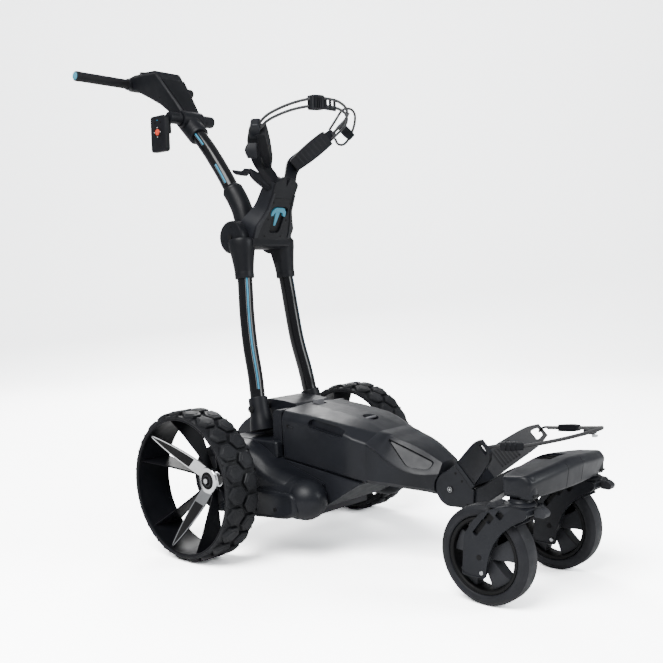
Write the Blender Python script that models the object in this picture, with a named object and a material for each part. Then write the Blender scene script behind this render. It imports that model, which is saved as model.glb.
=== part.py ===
"""Electric golf trolley: two driven rear wheels, twin front casters, folding frame.

Units are metres and +Z is up. The trolley drives towards -Y, its right side is -X.
All shapes are written with y = 0 at the rear axle. The empty "trolley" shifts
everything by AXLE_Y, which puts the middle of the bounding box at y = 0.
"""
import math

import bmesh
import bpy
from mathutils import Vector

# ---- driving dimensions -------------------------------------------------
AXLE_Y = 0.1307             # rear axle, behind the middle of the bounding box
GAP = 0.0004                # clearance between pieces that touch
SIDES = {"right": -1, "left": 1}

WHEEL_R = 0.150             # rear tyre radius, also the axle height
WHEEL_X = 0.250             # middle plane of a rear wheel
WHEEL_HALF_W = 0.040
RIM_R = 0.1363
RIM_WALL = 0.0043
STAR_ANGLE = 46             # first of the three star arms, from +Y towards +Z
BLADE_ANGLE = 16            # first of the six blades, midway between two arms
SHAFT_R = 0.006

GEARBOX_IN_X = 0.1125
GEARBOX_OUT_X = 0.1950
GEARBOX_R = 0.0465
MOTOR_X = 0.130
MOTOR_Z = 0.122
MOTOR_R = 0.033

SEAM_Y = -0.100             # rear face of the battery
BATTERY_FRONT_Y = -0.310
TRAY_Z_REAR = 0.186         # top of the tray at the rear seam
TRAY_Z_FRONT = 0.160

FOLD_Y = -0.0165            # lower frame fold axis
FOLD_Z = 0.283
LOWER_TUBE_R = 0.016
KNEE_Y = 0.060              # handle fold axis
KNEE_Z = 0.645
HANDLE_TUBE_R = 0.0175
TUBE_WALL = 0.002

ARM_Y = -0.468              # front arm fold axis
ARM_Z = 0.160
CASTER_X = 0.119
SWIVEL_Y = -0.662
CASTER_Y = -0.599
CASTER_R = 0.085

BAR_Y = 0.468               # grip bar
BAR_Z = 1.039
BAR_HALF = 0.177
BAR_R = 0.0115
STUB_Y = 0.268              # accessory bar through the console neck
STUB_Z = 0.929

# bag bracket plate: a point on its front face, its up direction and its front normal
PLATE_POINT = Vector((0, 0.010, 0.642))
PLATE_UP = Vector((0, -0.415, 0.910))
PLATE_FRONT = Vector((0, -0.910, -0.415))

# ---- clean start --------------------------------------------------------
for old in list(bpy.data.objects):
    bpy.data.objects.remove(old, do_unlink=True)

trolley = bpy.data.objects.new("trolley", None)
trolley.location = (0, AXLE_Y, 0)
bpy.context.scene.collection.objects.link(trolley)


def material(name, colour, roughness, metallic=0.0):
    """A Principled material."""
    mat = bpy.data.materials.new(name)
    mat.use_nodes = True
    shader = mat.node_tree.nodes["Principled BSDF"]
    shader.inputs["Base Color"].default_value = (*colour, 1)
    shader.inputs["Roughness"].default_value = roughness
    shader.inputs["Metallic"].default_value = metallic
    return mat


BLACK_PLASTIC = material("black_plastic", (0.022, 0.023, 0.027), 0.45)
GREY_PLASTIC = material("grey_plastic", (0.045, 0.047, 0.053), 0.5)
RUBBER = material("rubber", (0.018, 0.018, 0.020), 0.7)
GLOSS_TUBE = material("gloss_black_tube", (0.010, 0.010, 0.012), 0.15, 0.3)
STEEL = material("steel", (0.55, 0.56, 0.58), 0.3, 1.0)
CHROME = material("chrome", (0.75, 0.76, 0.78), 0.12, 1.0)
TEAL = material("teal_plastic", (0.10, 0.36, 0.50), 0.4)
RED = material("red_plastic", (0.75, 0.06, 0.04), 0.35)
CELLS = material("battery_cells", (0.05, 0.12, 0.30), 0.5)
PANEL = material("display_glass", (0.006, 0.006, 0.008), 0.08)


# ---- mesh helpers -------------------------------------------------------
def finish(name, bm, mat, origin=(0, 0, 0), cutter=False):
    """Turn a bmesh in trolley coordinates into an object with its origin at origin."""
    bmesh.ops.recalc_face_normals(bm, faces=bm.faces)
    bmesh.ops.translate(bm, verts=bm.verts, vec=-Vector(origin))
    mesh = bpy.data.meshes.new(name)
    bm.to_mesh(mesh)
    bm.free()
    mesh.shade_smooth()
    mesh.set_sharp_from_angle(angle=math.radians(32))
    mesh.materials.append(mat)
    obj = bpy.data.objects.new(name, mesh)
    obj.location = origin
    obj.parent = trolley
    bpy.context.scene.collection.objects.link(obj)
    if cutter:
        obj.hide_render = True
        obj.display_type = "WIRE"
    return obj


def combine(target, tool, operation):
    """Boolean the tool into the target and leave the tool as a hidden guide."""
    tool.hide_render = True
    tool.display_type = "WIRE"
    mod = target.modifiers.new(tool.name, "BOOLEAN")
    mod.operation = operation
    mod.solver = "EXACT"
    mod.object = tool


def add(target, bm):
    """Union a shape with the target."""
    name = f"{target.name}.add{len(target.modifiers)}"
    combine(target, finish(name, bm, target.data.materials[0], target.location, True), "UNION")


def cut(target, bm):
    """Cut a shape out of the target."""
    name = f"{target.name}.cut{len(target.modifiers)}"
    combine(target, finish(name, bm, target.data.materials[0], target.location, True), "DIFFERENCE")


def frame_of(axis, across=None):
    """Two directions square to an axis, as close as can be to a wanted first one."""
    axis = Vector(axis).normalized()
    if across is None:
        across = Vector((0, 0, 1)).cross(axis) if abs(axis.x) > 0.7 else Vector((1, 0, 0))
    across = (across - axis * across.dot(axis)).normalized()
    return axis, across, axis.cross(across)


def loft(sections, closed=False):
    """Skin a row of rings with equal point counts, with flat caps unless closed."""
    bm = bmesh.new()
    rings = [[bm.verts.new(p) for p in ring] for ring in sections]
    pairs = list(zip(rings, rings[1:]))
    if closed:
        pairs.append((rings[-1], rings[0]))
    for low, high in pairs:
        for i in range(len(low)):
            j = (i + 1) % len(low)
            bm.faces.new((low[i], low[j], high[j], high[i]))
    if not closed:
        bm.faces.new(rings[0])
        bm.faces.new(rings[-1])
    return bm


def ring_points(centre, axis, radius, count, across=None):
    """Points of a circle about an axis, with a flat side facing down on a wheel."""
    axis, u, w = frame_of(axis, across)
    points = []
    for k in range(count):
        t = (k + 0.5) * 2 * math.pi / count - math.pi / 2
        points.append(Vector(centre) + radius * (math.cos(t) * u + math.sin(t) * w))
    return points


def turned(profile, origin, axis, count=24):
    """A solid of revolution from (distance along the axis, radius) pairs."""
    direction = Vector(axis).normalized()
    return loft([ring_points(Vector(origin) + direction * a, axis, r, count) for a, r in profile])


def turned_ring(profile, origin, axis, count=24):
    """A ring of revolution from a closed (distance, radius) loop."""
    direction = Vector(axis).normalized()
    sections = [ring_points(Vector(origin) + direction * a, axis, r, count) for a, r in profile]
    return loft(sections, closed=True)


def cylinder(start, end, radius, count=24):
    """A round rod between two points."""
    start, end = Vector(start), Vector(end)
    return turned([(0, radius), ((end - start).length, radius)], start, end - start, count)


def box(low, high):
    """An axis-aligned block."""
    (x0, y0, z0), (x1, y1, z1) = low, high
    ring = [(x0, y0), (x1, y0), (x1, y1), (x0, y1)]
    return loft([[(x, y, z) for x, y in ring] for z in (z0, z1)])


def side_prism(outline, x0, x1):
    """A (y, z) outline extruded along X."""
    return loft([[(x, y, z) for y, z in outline] for x in (x0, x1)])


def arc(y, z, radius, start, end, steps):
    """Points (y, z) of an arc, angles in degrees from +Y towards +Z."""
    points = []
    for k in range(steps + 1):
        t = math.radians(start + (end - start) * k / steps)
        points.append((y + radius * math.cos(t), z + radius * math.sin(t)))
    return points


def smooth_path(points, steps):
    """A Catmull-Rom curve through the points."""
    points = [Vector(p) for p in points]
    ends = [2 * points[0] - points[1]] + points + [2 * points[-1] - points[-2]]
    path = []
    for i in range(1, len(ends) - 2):
        a, b, c, d = ends[i - 1:i + 3]
        for k in range(steps):
            t = k / steps
            path.append(0.5 * (2 * b + (c - a) * t + (2 * a - 5 * b + 4 * c - d) * t * t
                               + (3 * b - a - 3 * c + d) * t ** 3))
    path.append(points[-1])
    return path


def sweep_rings(path, radius, count):
    """Rings square to a path, each turned as little as can be from the last."""
    rings = []
    across = None
    for i, point in enumerate(path):
        tangent = path[min(i + 1, len(path) - 1)] - path[max(i - 1, 0)]
        across = frame_of(tangent, across)[1]
        rings.append(ring_points(point, tangent, radius, count, across))
    return rings


def rod(points, radius, count=8, steps=3):
    """A solid round bar along a smooth path."""
    return loft(sweep_rings(smooth_path(points, steps), radius, count))


def pipe(points, radius, wall, count=14, steps=1):
    """A hollow tube along a smooth path."""
    path = smooth_path(points, steps)
    outer = sweep_rings(path, radius, count)
    inner = sweep_rings(path, radius - wall, count)
    return loft(outer + inner[::-1], closed=True)


def beam(sections, width_axis, thickness_axis):
    """A bar through (centre, half width, half thickness) sections."""
    w, t = Vector(width_axis).normalized(), Vector(thickness_axis).normalized()
    rings = []
    for centre, hw, ht in sections:
        c = Vector(centre)
        rings.append([c - w * hw - t * ht, c + w * hw - t * ht, c + w * hw + t * ht, c - w * hw + t * ht])
    return loft(rings)


def mirror_x(point, side):
    """The same point on the given side of the trolley."""
    return (side * point[0], point[1], point[2])


# ---- rear wheels --------------------------------------------------------
def wheel_profile(points, side, count=48):
    """A ring about the wheel axis; flats touch the true radius."""
    grow = 1 / math.cos(math.pi / count)
    centre = (side * WHEEL_X, 0, WHEEL_R)
    return turned_ring([(a, r * grow) for a, r in points], centre, (side, 0, 0), count)


def wheel_arm(side, angle, inner, outer, half_inner, half_outer):
    """One radial arm between (radius, low, high) stations along the wheel axis."""
    t = math.radians(angle)
    radial = Vector((0, math.cos(t), math.sin(t)))
    across = Vector((0, -math.sin(t), math.cos(t)))
    centre = Vector((side * WHEEL_X, 0, WHEEL_R))
    rings = []
    for (radius, low, high), half in ((inner, half_inner), (outer, half_outer)):
        ring = []
        for sign, level in ((-1, low), (1, low), (1, high), (-1, high)):
            ring.append(centre + radial * radius + across * half * sign + Vector((side * level, 0, 0)))
        rings.append(ring)
    return loft(rings)


def rear_wheel(label, side):
    """Tyre, rim, three-arm star, hub cap and the shaft that turns them."""
    axle = (side * WHEEL_X, 0, WHEEL_R)
    out = Vector((side, 0, 0))
    shoulder = WHEEL_R - 0.0035
    tread = [(-0.040, RIM_R + GAP), (-0.040, 0.1400), (-0.0365, shoulder), (-0.029, WHEEL_R),
             (0.029, WHEEL_R), (0.0365, shoulder), (0.040, 0.1400), (0.040, RIM_R + GAP)]
    finish(f"tyre_{label}", wheel_profile(tread, side), RUBBER, axle)

    barrel = [(-0.0395, RIM_R - RIM_WALL), (-0.0395, RIM_R), (0.0395, RIM_R), (0.0395, RIM_R - RIM_WALL)]
    rim = finish(f"rim_{label}", wheel_profile(barrel, side), BLACK_PLASTIC, axle)
    add(rim, turned([(-0.052, 0.022), (-0.042, 0.022)], axle, out))
    for k in range(6):
        add(rim, wheel_arm(side, BLADE_ANGLE + 60 * k, (0.018, -0.0515, -0.0498), (0.1335, -0.0385, 0.0280),
                           0.002, 0.0012))
    cut(rim, turned([(-0.060, SHAFT_R + GAP), (-0.020, SHAFT_R + GAP)], axle, out))

    star = finish(f"star_{label}", turned([(-0.0417, 0.0285), (-0.0367, 0.0285)], axle, out),
                  BLACK_PLASTIC, axle)
    for k in range(3):
        add(star, wheel_arm(side, STAR_ANGLE + 120 * k, (0.027, -0.0414, -0.0370), (0.130, 0.0310, 0.0360),
                            0.0100, 0.0020))
    cut(star, turned([(-0.060, SHAFT_R + GAP), (0.0, SHAFT_R + GAP)], axle, out))

    cap = [(-0.0363, 0.0265), (-0.0325, 0.0265), (-0.0315, 0.0215), (-0.0305, 0.0120), (-0.0265, 0.0085)]
    finish(f"hub_cap_{label}", turned(cap, axle, out), CHROME, axle)

    finish(f"wheel_shaft_{label}",
           cylinder((side * 0.1145, 0, WHEEL_R), (side * 0.2130, 0, WHEEL_R), SHAFT_R, 16), STEEL, axle)


# ---- drive units --------------------------------------------------------
def drive_unit(label, side):
    """Sealed reduction gearbox around the shaft and the motor in front of it."""
    ring = [(GEARBOX_IN_X, SHAFT_R + 0.0008), (GEARBOX_IN_X, GEARBOX_R),
            (GEARBOX_OUT_X, GEARBOX_R), (GEARBOX_OUT_X, SHAFT_R + 0.0008)]
    finish(f"gearbox_{label}", turned_ring(ring, (0, 0, WHEEL_R), (side, 0, 0)), GREY_PLASTIC)
    can = [(0.0515, MOTOR_R - 0.004), (0.0555, MOTOR_R), (0.2080, MOTOR_R), (0.2120, MOTOR_R - 0.004)]
    finish(f"motor_{label}", turned(can, (side * MOTOR_X, 0, MOTOR_Z), (0, -1, 0)), STEEL)


def tray_z(y):
    """Height of the split between tray and battery."""
    if y > SEAM_Y:
        return TRAY_Z_REAR
    slope = (TRAY_Z_REAR - TRAY_Z_FRONT) / (SEAM_Y - BATTERY_FRONT_Y)
    return TRAY_Z_REAR + slope * (y - SEAM_Y)


def chassis_base():
    """Lower tray with the two axle barrels and the two motor bulges."""
    outline = [(0.072, tray_z(0)), (0.085, 0.150), (0.070, 0.105), (0.045, 0.085), (-0.060, 0.076),
               (-0.205, 0.082), (-0.250, 0.098), (-0.298, 0.148), (-0.300, tray_z(-0.300)),
               (SEAM_Y, tray_z(SEAM_Y))]
    base = finish("chassis_base", side_prism(outline, -0.100, 0.100), BLACK_PLASTIC)
    for side in SIDES.values():
        add(base, cylinder((side * 0.080, 0, WHEEL_R), (side * 0.1965, 0, WHEEL_R), 0.068, 32))
        bulge = [(0.010, 0.042), (0.213, 0.042), (0.228, 0.034), (0.237, 0.018)]
        add(base, turned(bulge, (side * MOTOR_X, 0, MOTOR_Z), (0, -1, 0)))
    cut(base, box((-0.085, -0.255, 0.100), (0.085, 0.045, 0.300)))
    for side in SIDES.values():
        cut(base, cylinder((side * 0.1120, 0, WHEEL_R), (side * 0.2100, 0, WHEEL_R), 0.0473))
        cut(base, cylinder((side * MOTOR_X, -0.005, MOTOR_Z), (side * MOTOR_X, -0.2135, MOTOR_Z), 0.0345))


def rear_housing():
    """Drum behind the battery that carries the fold bolts, with low shoulders."""
    z0 = TRAY_Z_REAR + GAP
    back = SEAM_Y + 2 * GAP
    drum = arc(0, 0.155, 0.110, 16.6, 80, 7)
    outline = drum + [(0.010, 0.294), (-0.020, 0.300), (back, 0.2935), (back, z0)]
    housing = finish("rear_housing", side_prism(outline, -0.052, 0.052), BLACK_PLASTIC)
    add(housing, box((-0.116, back, z0), (0.116, 0.055, 0.2240)))
    add(housing, box((-0.100, back, z0 + 0.0001), (0.100, -0.0740, 0.2850)))
    cut(housing, box((-0.045, -0.090, 0.100), (0.045, 0.050, 0.235)))
    for side in SIDES.values():
        cut(housing, cylinder((side * 0.079, 0, WHEEL_R), (side * 0.200, 0, WHEEL_R), 0.069, 32))
        cut(housing, cylinder((side * 0.031, FOLD_Y, FOLD_Z), (side * 0.060, FOLD_Y, FOLD_Z), 0.0055, 12))


# ---- battery ------------------------------------------------------------
def battery_section(y, low_w, low_z, side_w, side_z, top_w, top_z, crown):
    """Half-width and height pairs mirrored into one ring."""
    half = [(low_w, low_z), (side_w, side_z), (top_w, top_z), (0.030, crown)]
    ring = [(x, y, z) for x, z in half]
    return ring + [(-x, y, z) for x, z in reversed(half)]


def battery():
    """Removable battery: case with grip slots, cells inside and two catches on top."""
    rear, front = SEAM_Y - GAP, BATTERY_FRONT_Y + GAP
    lift = 0.0006
    sections = [
        battery_section(rear, 0.098, tray_z(rear) + lift, 0.102, 0.272, 0.093, 0.286, 0.2925),
        battery_section(-0.235, 0.094, tray_z(-0.235) + lift, 0.098, 0.256, 0.085, 0.270, 0.276),
        battery_section(front, 0.093, tray_z(front) + lift, 0.081, 0.236, 0.050, 0.2505, 0.2535),
    ]
    case = finish("battery_case", loft(sections), BLACK_PLASTIC)
    cut(case, box((-0.082, -0.285, 0.100), (0.082, -0.112, 0.240)))
    cut(case, box((-0.150, -0.350, 0.2460), (0.150, 0.0, 0.350)))
    lid = finish("battery_lid", loft([
        battery_section(rear, 0.1008, 0.2464, 0.102, 0.272, 0.093, 0.286, 0.2925),
        battery_section(-0.235, 0.0976, 0.2464, 0.098, 0.256, 0.085, 0.270, 0.276),
        battery_section(front, 0.0588, 0.2464, 0.0560, 0.2477, 0.050, 0.2505, 0.2535),
    ]), BLACK_PLASTIC)
    for side in SIDES.values():
        x0, x1 = sorted((side * 0.088, side * 0.120))
        cut(lid, box((x0, -0.2620, 0.2200), (x1, -0.1720, 0.3100)))
    cut(lid, box((-0.0125, -0.128, 0.2800), (0.0125, -0.0950, 0.300)))
    cut(lid, box((-0.0165, -0.272, 0.2580), (0.0165, -0.236, 0.300)))
    finish("battery_cells", box((-0.078, -0.280, 0.1860), (0.078, -0.117, 0.2380)), CELLS)
    finish("battery_catch_rear", box((-0.0110, -0.1190, 0.2805), (0.0110, -0.1060, 0.2960)),
           GREY_PLASTIC, (0, -0.1125, 0.288))
    bail = [(0.0125, -0.2400, 0.2640), (0.0120, -0.2560, 0.2665), (0.0, -0.2640, 0.2675),
            (-0.0120, -0.2560, 0.2665), (-0.0125, -0.2400, 0.2640)]
    finish("battery_catch_front", rod(bail, 0.0022, 8, 3),
           STEEL, (0, -0.2400, 0.2640))


# ---- nose and front arm -------------------------------------------------
def nose():
    """Tapering front beam with a round tongue that carries the front arm."""
    def section(y, bw, bz, sw, sz, tw, tz):
        half = [(bw, bz), (sw, sz), (tw, tz)]
        return [(x, y, z) for x, z in half] + [(-x, y, z) for x, z in reversed(half)]
    body = finish("nose_body", loft([
        section(BATTERY_FRONT_Y - GAP, 0.0930, 0.1600, 0.0810, 0.2400, 0.0470, 0.2530),
        section(-0.360, 0.0700, 0.1540, 0.0660, 0.2260, 0.0400, 0.2370),
        section(-0.420, 0.0420, 0.1470, 0.0405, 0.1980, 0.0270, 0.2080),
        section(-0.4425, 0.0370, 0.1440, 0.0365, 0.1880, 0.0240, 0.1990),
    ]), BLACK_PLASTIC)
    tongue = [(-0.4300, ARM_Z + 0.027)] + arc(ARM_Y, ARM_Z, 0.027, 90, 270, 10)
    tongue += [(-0.4300, ARM_Z - 0.015)]
    add(body, side_prism(tongue, -0.0285, 0.0285))
    for side in SIDES.values():
        cut(body, cylinder((side * 0.0286, ARM_Y, ARM_Z), (side * 0.060, ARM_Y, ARM_Z), 0.0342, 32))
    cut(body, cylinder((-0.050, ARM_Y, ARM_Z), (0.050, ARM_Y, ARM_Z), 0.0056, 12))
    cut(body, box((-0.030, -0.395, 0.100), (0.030, -0.325, 0.195)))
    finish("front_pivot_bolt", cylinder((-0.0395, ARM_Y, ARM_Z), (0.0395, ARM_Y, ARM_Z), 0.005, 12), STEEL)


def front_arm():
    """Two cheek plates and the neck that carries the caster beam."""
    cheek = [(-0.4775, 0.2055)] + arc(ARM_Y, ARM_Z, 0.0330, 70, -80, 8)
    cheek += [(-0.4900, 0.1285), (-0.5165, 0.1270), (-0.5190, 0.1640)]
    arm = finish("front_arm", side_prism(cheek, -0.0370, -0.0295), BLACK_PLASTIC, (0, ARM_Y, ARM_Z))
    add(arm, side_prism(cheek, 0.0295, 0.0370))
    neck = [(-0.5040, 0.1310), (-0.5180, 0.1290), (-0.5700, 0.1620), (-0.6298, 0.1900),
            (-0.6298, 0.2230), (-0.5900, 0.2180), (-0.5250, 0.1650), (-0.5040, 0.1640)]
    add(arm, side_prism(neck, -0.0320, 0.0320))
    cut(arm, cylinder((-0.060, ARM_Y, ARM_Z), (0.060, ARM_Y, ARM_Z), 0.0056, 12))


def bumper():
    """Cross beam over the casters, with a swivel bore at each end."""
    def section(x, y0, y1, z0, z1, chamfer):
        c = chamfer
        return [(x, y0 + c, z0), (x, y1 - c, z0), (x, y1, z0 + c), (x, y1, z1 - c),
                (x, y1 - c, z1), (x, y0 + c, z1), (x, y0, z1 - c), (x, y0, z0 + c)]
    stations = [(-0.140, -0.672, -0.650, 0.200, 0.220, 0.006),
                (-0.134, -0.690, -0.636, 0.190, 0.228, 0.008),
                (-0.070, -0.700, -0.632, 0.189, 0.235, 0.008),
                (0.0, -0.704, -0.6302, 0.189, 0.240, 0.008)]
    ends = [(-s[0],) + s[1:] for s in reversed(stations[:-1])]
    beam_obj = finish("caster_beam", loft([section(*s) for s in stations + ends]), BLACK_PLASTIC,
                      (0, ARM_Y, ARM_Z))
    for side in SIDES.values():
        x = side * CASTER_X
        cut(beam_obj, cylinder((x, SWIVEL_Y, 0.150), (x, SWIVEL_Y, 0.2180), 0.0096, 16))
    cut(beam_obj, box((-0.030, -0.6500, 0.226), (0.030, -0.6380, 0.300)))


def caster(label, side):
    """Swivelling fork, tyre, spoked rim and the swivel lock lever."""
    x = side * CASTER_X
    swivel = (x, SWIVEL_Y, 0.180)
    leg = [(-0.6900, 0.1600), (-0.6900, 0.1750), (-0.6400, 0.1750), (-0.6000, 0.1600), (-0.5680, 0.1180),
           (-0.5660, 0.0560), (-0.6100, 0.0520), (-0.6180, 0.0900), (-0.6400, 0.1300), (-0.6600, 0.1500)]
    fork = finish(f"caster_fork_{label}", side_prism(leg, x - 0.0300, x - 0.0240), BLACK_PLASTIC, swivel)
    add(fork, side_prism(leg, x + 0.0240, x + 0.0300))
    add(fork, box((x - 0.0270, -0.6890, 0.1600), (x + 0.0270, -0.6480, 0.1740)))
    add(fork, cylinder((x, SWIVEL_Y, 0.1700), (x, SWIVEL_Y, 0.1880), 0.0260))
    add(fork, cylinder((x, SWIVEL_Y, 0.1750), (x, SWIVEL_Y, 0.2150), 0.0090, 16))
    add(fork, cylinder((x - 0.0280, CASTER_Y, CASTER_R), (x + 0.0280, CASTER_Y, CASTER_R), 0.0050, 16))

    axle = (x, CASTER_Y, CASTER_R)
    grow = 1 / math.cos(math.pi / 40)
    tread = [(-0.018, 0.0660), (-0.021, 0.0710), (-0.019, 0.0790), (-0.012, CASTER_R),
             (0.012, CASTER_R), (0.019, 0.0790), (0.021, 0.0710), (0.018, 0.0660)]
    finish(f"caster_tyre_{label}", turned_ring([(a, r * grow) for a, r in tread], axle, (side, 0, 0), 40),
           RUBBER, axle)
    barrel = [(-0.0175, 0.0580), (-0.0175, 0.0654), (0.0175, 0.0654), (0.0175, 0.0580)]
    ring = turned_ring([(a, r * grow) for a, r in barrel], axle, (side, 0, 0), 40)
    rim = finish(f"caster_rim_{label}", ring, GREY_PLASTIC, axle)
    add(rim, turned([(-0.0165, 0.0150), (0.0165, 0.0150)], axle, (side, 0, 0), 16))
    for k in range(5):
        t = math.radians(72 * k + 20)
        radial, across = Vector((0, math.cos(t), math.sin(t))), Vector((0, -math.sin(t), math.cos(t)))
        start, end = Vector(axle) + radial * 0.010, Vector(axle) + radial * 0.061
        add(rim, beam([(start, 0.005, 0.010), (end, 0.004, 0.010)], across, (1, 0, 0)))
    cut(rim, cylinder((x - 0.030, CASTER_Y, CASTER_R), (x + 0.030, CASTER_Y, CASTER_R), 0.0054, 16))

    lever = [(-0.6905, 0.1620), (-0.6905, 0.1740), (-0.7000, 0.1790), (-0.7120, 0.1700), (-0.7080, 0.1610)]
    finish(f"lock_lever_{label}", side_prism(lever, x - 0.0090, x + 0.0090), GREY_PLASTIC,
           (x, -0.6945, 0.168))


# ---- lower bag cradle ---------------------------------------------------
WING = [((0.034, -0.5015, 0.1935), 0.026), ((0.060, -0.5380, 0.2240), 0.024),
        ((0.084, -0.5690, 0.2490), 0.021), ((0.098, -0.5850, 0.2620), 0.013)]
WING_WIDTH = Vector((0, -0.694, -0.720))
WING_OUT = Vector((0.057, -0.085, 0.075)).normalized().cross(WING_WIDTH).normalized()


def lower_cradle():
    """V-shaped cradle for the bag's foot: a web and two wings, each with a strap hole."""
    web = [(-0.4775, 0.2085), (-0.5170, 0.1672), (-0.5235, 0.1735), (-0.4835, 0.2150)]
    cradle = finish("lower_cradle", side_prism(web, -0.040, 0.040), BLACK_PLASTIC, (0, ARM_Y, ARM_Z))
    for side in SIDES.values():
        width = Vector(mirror_x(WING_WIDTH, side))
        thick = Vector(mirror_x(WING_OUT, side))
        add(cradle, beam([(mirror_x(c, side), hw, 0.0035) for c, hw in WING], width, thick))
        centre = Vector(mirror_x(WING[2][0], side))
        cut(cradle, cylinder(centre - thick * 0.02, centre + thick * 0.02, 0.0085, 12))


def lower_strap():
    """Elastic strap for the bag's foot: buckle block, loop and hook, held by both wings."""
    loop = [(-0.078, -0.600, 0.2600), (-0.060, -0.635, 0.2610), (-0.030, -0.685, 0.2720),
            (-0.010, -0.730, 0.2860), (0.006, -0.744, 0.2920), (0.024, -0.725, 0.2880),
            (0.052, -0.668, 0.2790), (0.078, -0.606, 0.2700)]
    strap = finish("lower_strap", rod(loop, 0.0035, 8, 2), RUBBER, (0, ARM_Y, ARM_Z))
    add(strap, beam([(loop[0], 0.007, 0.005), (loop[1], 0.007, 0.005)], (0, 0, 1), (0.87, 0.5, 0)))
    add(strap, beam([(loop[6], 0.006, 0.005), (loop[7], 0.008, 0.005)], (0, 0, 1), (-0.87, 0.5, 0)))


# ---- lower frame and knee -----------------------------------------------
TUBE_ROUTE = [(0.0834, -0.0228, 0.262), (0.0805, -0.0125, 0.3035), (0.0770, -0.0030, 0.350),
              (0.0725, 0.0140, 0.414), (0.0690, 0.0245, 0.478), (0.0650, 0.0305, 0.530),
              (0.0628, 0.0340, 0.558), (0.0605, 0.0380, 0.597)]


def lower_frame():
    """Two tubes in flared sockets that fold on bolts in the rear housing."""
    pivot = (0, FOLD_Y, FOLD_Z)
    for label, side in SIDES.items():
        foot = Vector(mirror_x((0.0862, -0.0300, 0.2365), side))
        top = Vector(mirror_x((0.0802, -0.0120, 0.3040), side))
        up = top - foot
        flare = [(0.0, 0.0260), (0.018, 0.0245), (0.040, 0.0215), (up.length, 0.0205)]
        socket = finish(f"lower_socket_{label}", turned(flare, foot, up, 20), BLACK_PLASTIC, pivot)
        start, end = foot + up * 0.33, foot + up * 1.2
        cut(socket, cylinder(start, end, LOWER_TUBE_R + 0.0012, 16))
        cross = [(side * x, FOLD_Y, FOLD_Z) for x in (0.020, 0.130)]
        cut(socket, cylinder(*cross, 0.0056, 12))
        tube = finish(f"lower_tube_{label}", pipe([mirror_x(p, side) for p in TUBE_ROUTE],
                                                  LOWER_TUBE_R, TUBE_WALL), GLOSS_TUBE, pivot)
        cut(tube, cylinder(*cross, 0.0056, 12))
        bolt = turned([(0.033, 0.005), (0.1045, 0.005), (0.1045, 0.008), (0.1075, 0.0075)],
                      (0, FOLD_Y, FOLD_Z), (side, 0, 0), 12)
        finish(f"fold_bolt_{label}", bolt, STEEL)


def knee():
    """Cross piece that joins both tubes and holds the handle's pivot pin."""
    pivot = (0, FOLD_Y, FOLD_Z)
    housing = finish("knee_housing", box((-0.062, -0.008, 0.6000), (0.062, 0.026, 0.6300)),
                     BLACK_PLASTIC, pivot)
    for side in SIDES.values():
        disc = [(0.0405, 0.0340), (0.0430, 0.0360), (0.0750, 0.0360), (0.0780, 0.0330)]
        add(housing, turned(disc, (0, KNEE_Y, KNEE_Z), (side, 0, 0), 28))
        low, high = Vector((side * 0.0629, 0.0338, 0.556)), Vector((side * 0.0595, 0.0440, 0.640))
        add(housing, turned([(0, 0.0205), (0.030, 0.0225), (0.060, 0.0265), ((high - low).length, 0.030)],
                            low, high - low, 20))
    for side in SIDES.values():
        low, high = Vector((side * 0.0640, 0.0318, 0.540)), Vector((side * 0.0603, 0.0386, 0.6010))
        cut(housing, cylinder(low, high, LOWER_TUBE_R + 0.0010, 16))
    cut(housing, box((-0.0402, 0.0265, 0.590), (0.0402, 0.110, 0.700)))
    cut(housing, cylinder((-0.100, KNEE_Y, KNEE_Z), (0.100, KNEE_Y, KNEE_Z), 0.0066, 12))
    finish("knee_pin", cylinder((-0.0795, KNEE_Y, KNEE_Z), (0.0795, KNEE_Y, KNEE_Z), 0.0060, 12),
           STEEL, pivot)


HANDLE_ROUTE = [(0, 0.0900, 0.672), (0, 0.1000, 0.704), (0, 0.1160, 0.734), (0, 0.1350, 0.760),
                (0, 0.1550, 0.789), (0, 0.1770, 0.818), (0, 0.2010, 0.848), (0, 0.2280, 0.878),
                (0, 0.2550, 0.904)]


def handle():
    """Sleeve on the knee pin and the bowed handle tube."""
    pivot = (0, KNEE_Y, KNEE_Z)
    lug = cylinder((-0.0385, KNEE_Y, KNEE_Z), (0.0385, KNEE_Y, KNEE_Z), 0.0270)
    sleeve = finish("handle_sleeve", lug, BLACK_PLASTIC, pivot)
    path = [Vector(p) for p in [(0, 0.0850, 0.652)] + HANDLE_ROUTE[1:4]]
    add(sleeve, loft(sweep_rings(path, 0.0235, 20)))
    cut(sleeve, rod([(0, 0.0868, 0.660)] + HANDLE_ROUTE[:6], HANDLE_TUBE_R + 0.0008, 16, 2))
    cut(sleeve, cylinder((-0.100, KNEE_Y, KNEE_Z), (0.100, KNEE_Y, KNEE_Z), 0.0066, 12))
    finish("handle_tube", pipe(HANDLE_ROUTE, HANDLE_TUBE_R, TUBE_WALL), GLOSS_TUBE, pivot)


# ---- upper bag bracket --------------------------------------------------
def on_plate(x, up, depth=0.0):
    """A point on the bracket plate: sideways, up its face and behind its face."""
    return PLATE_POINT + PLATE_UP * up - PLATE_FRONT * depth + Vector((x, 0, 0))


def plate_prism(half_outline, near, far):
    """A mirrored (x, up) half outline extruded from near to far behind the face."""
    outline = half_outline + [(-x, up) for x, up in reversed(half_outline)]
    return loft([[on_plate(x, up, depth) for x, up in outline] for depth in (near, far)])


PAD_ROOT = Vector((0.036, -0.026, 0.796))
PAD_TIP = Vector((0.108, -0.074, 0.864))
PAD_FACE = Vector((-0.57, -0.82, 0)).normalized()


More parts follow.
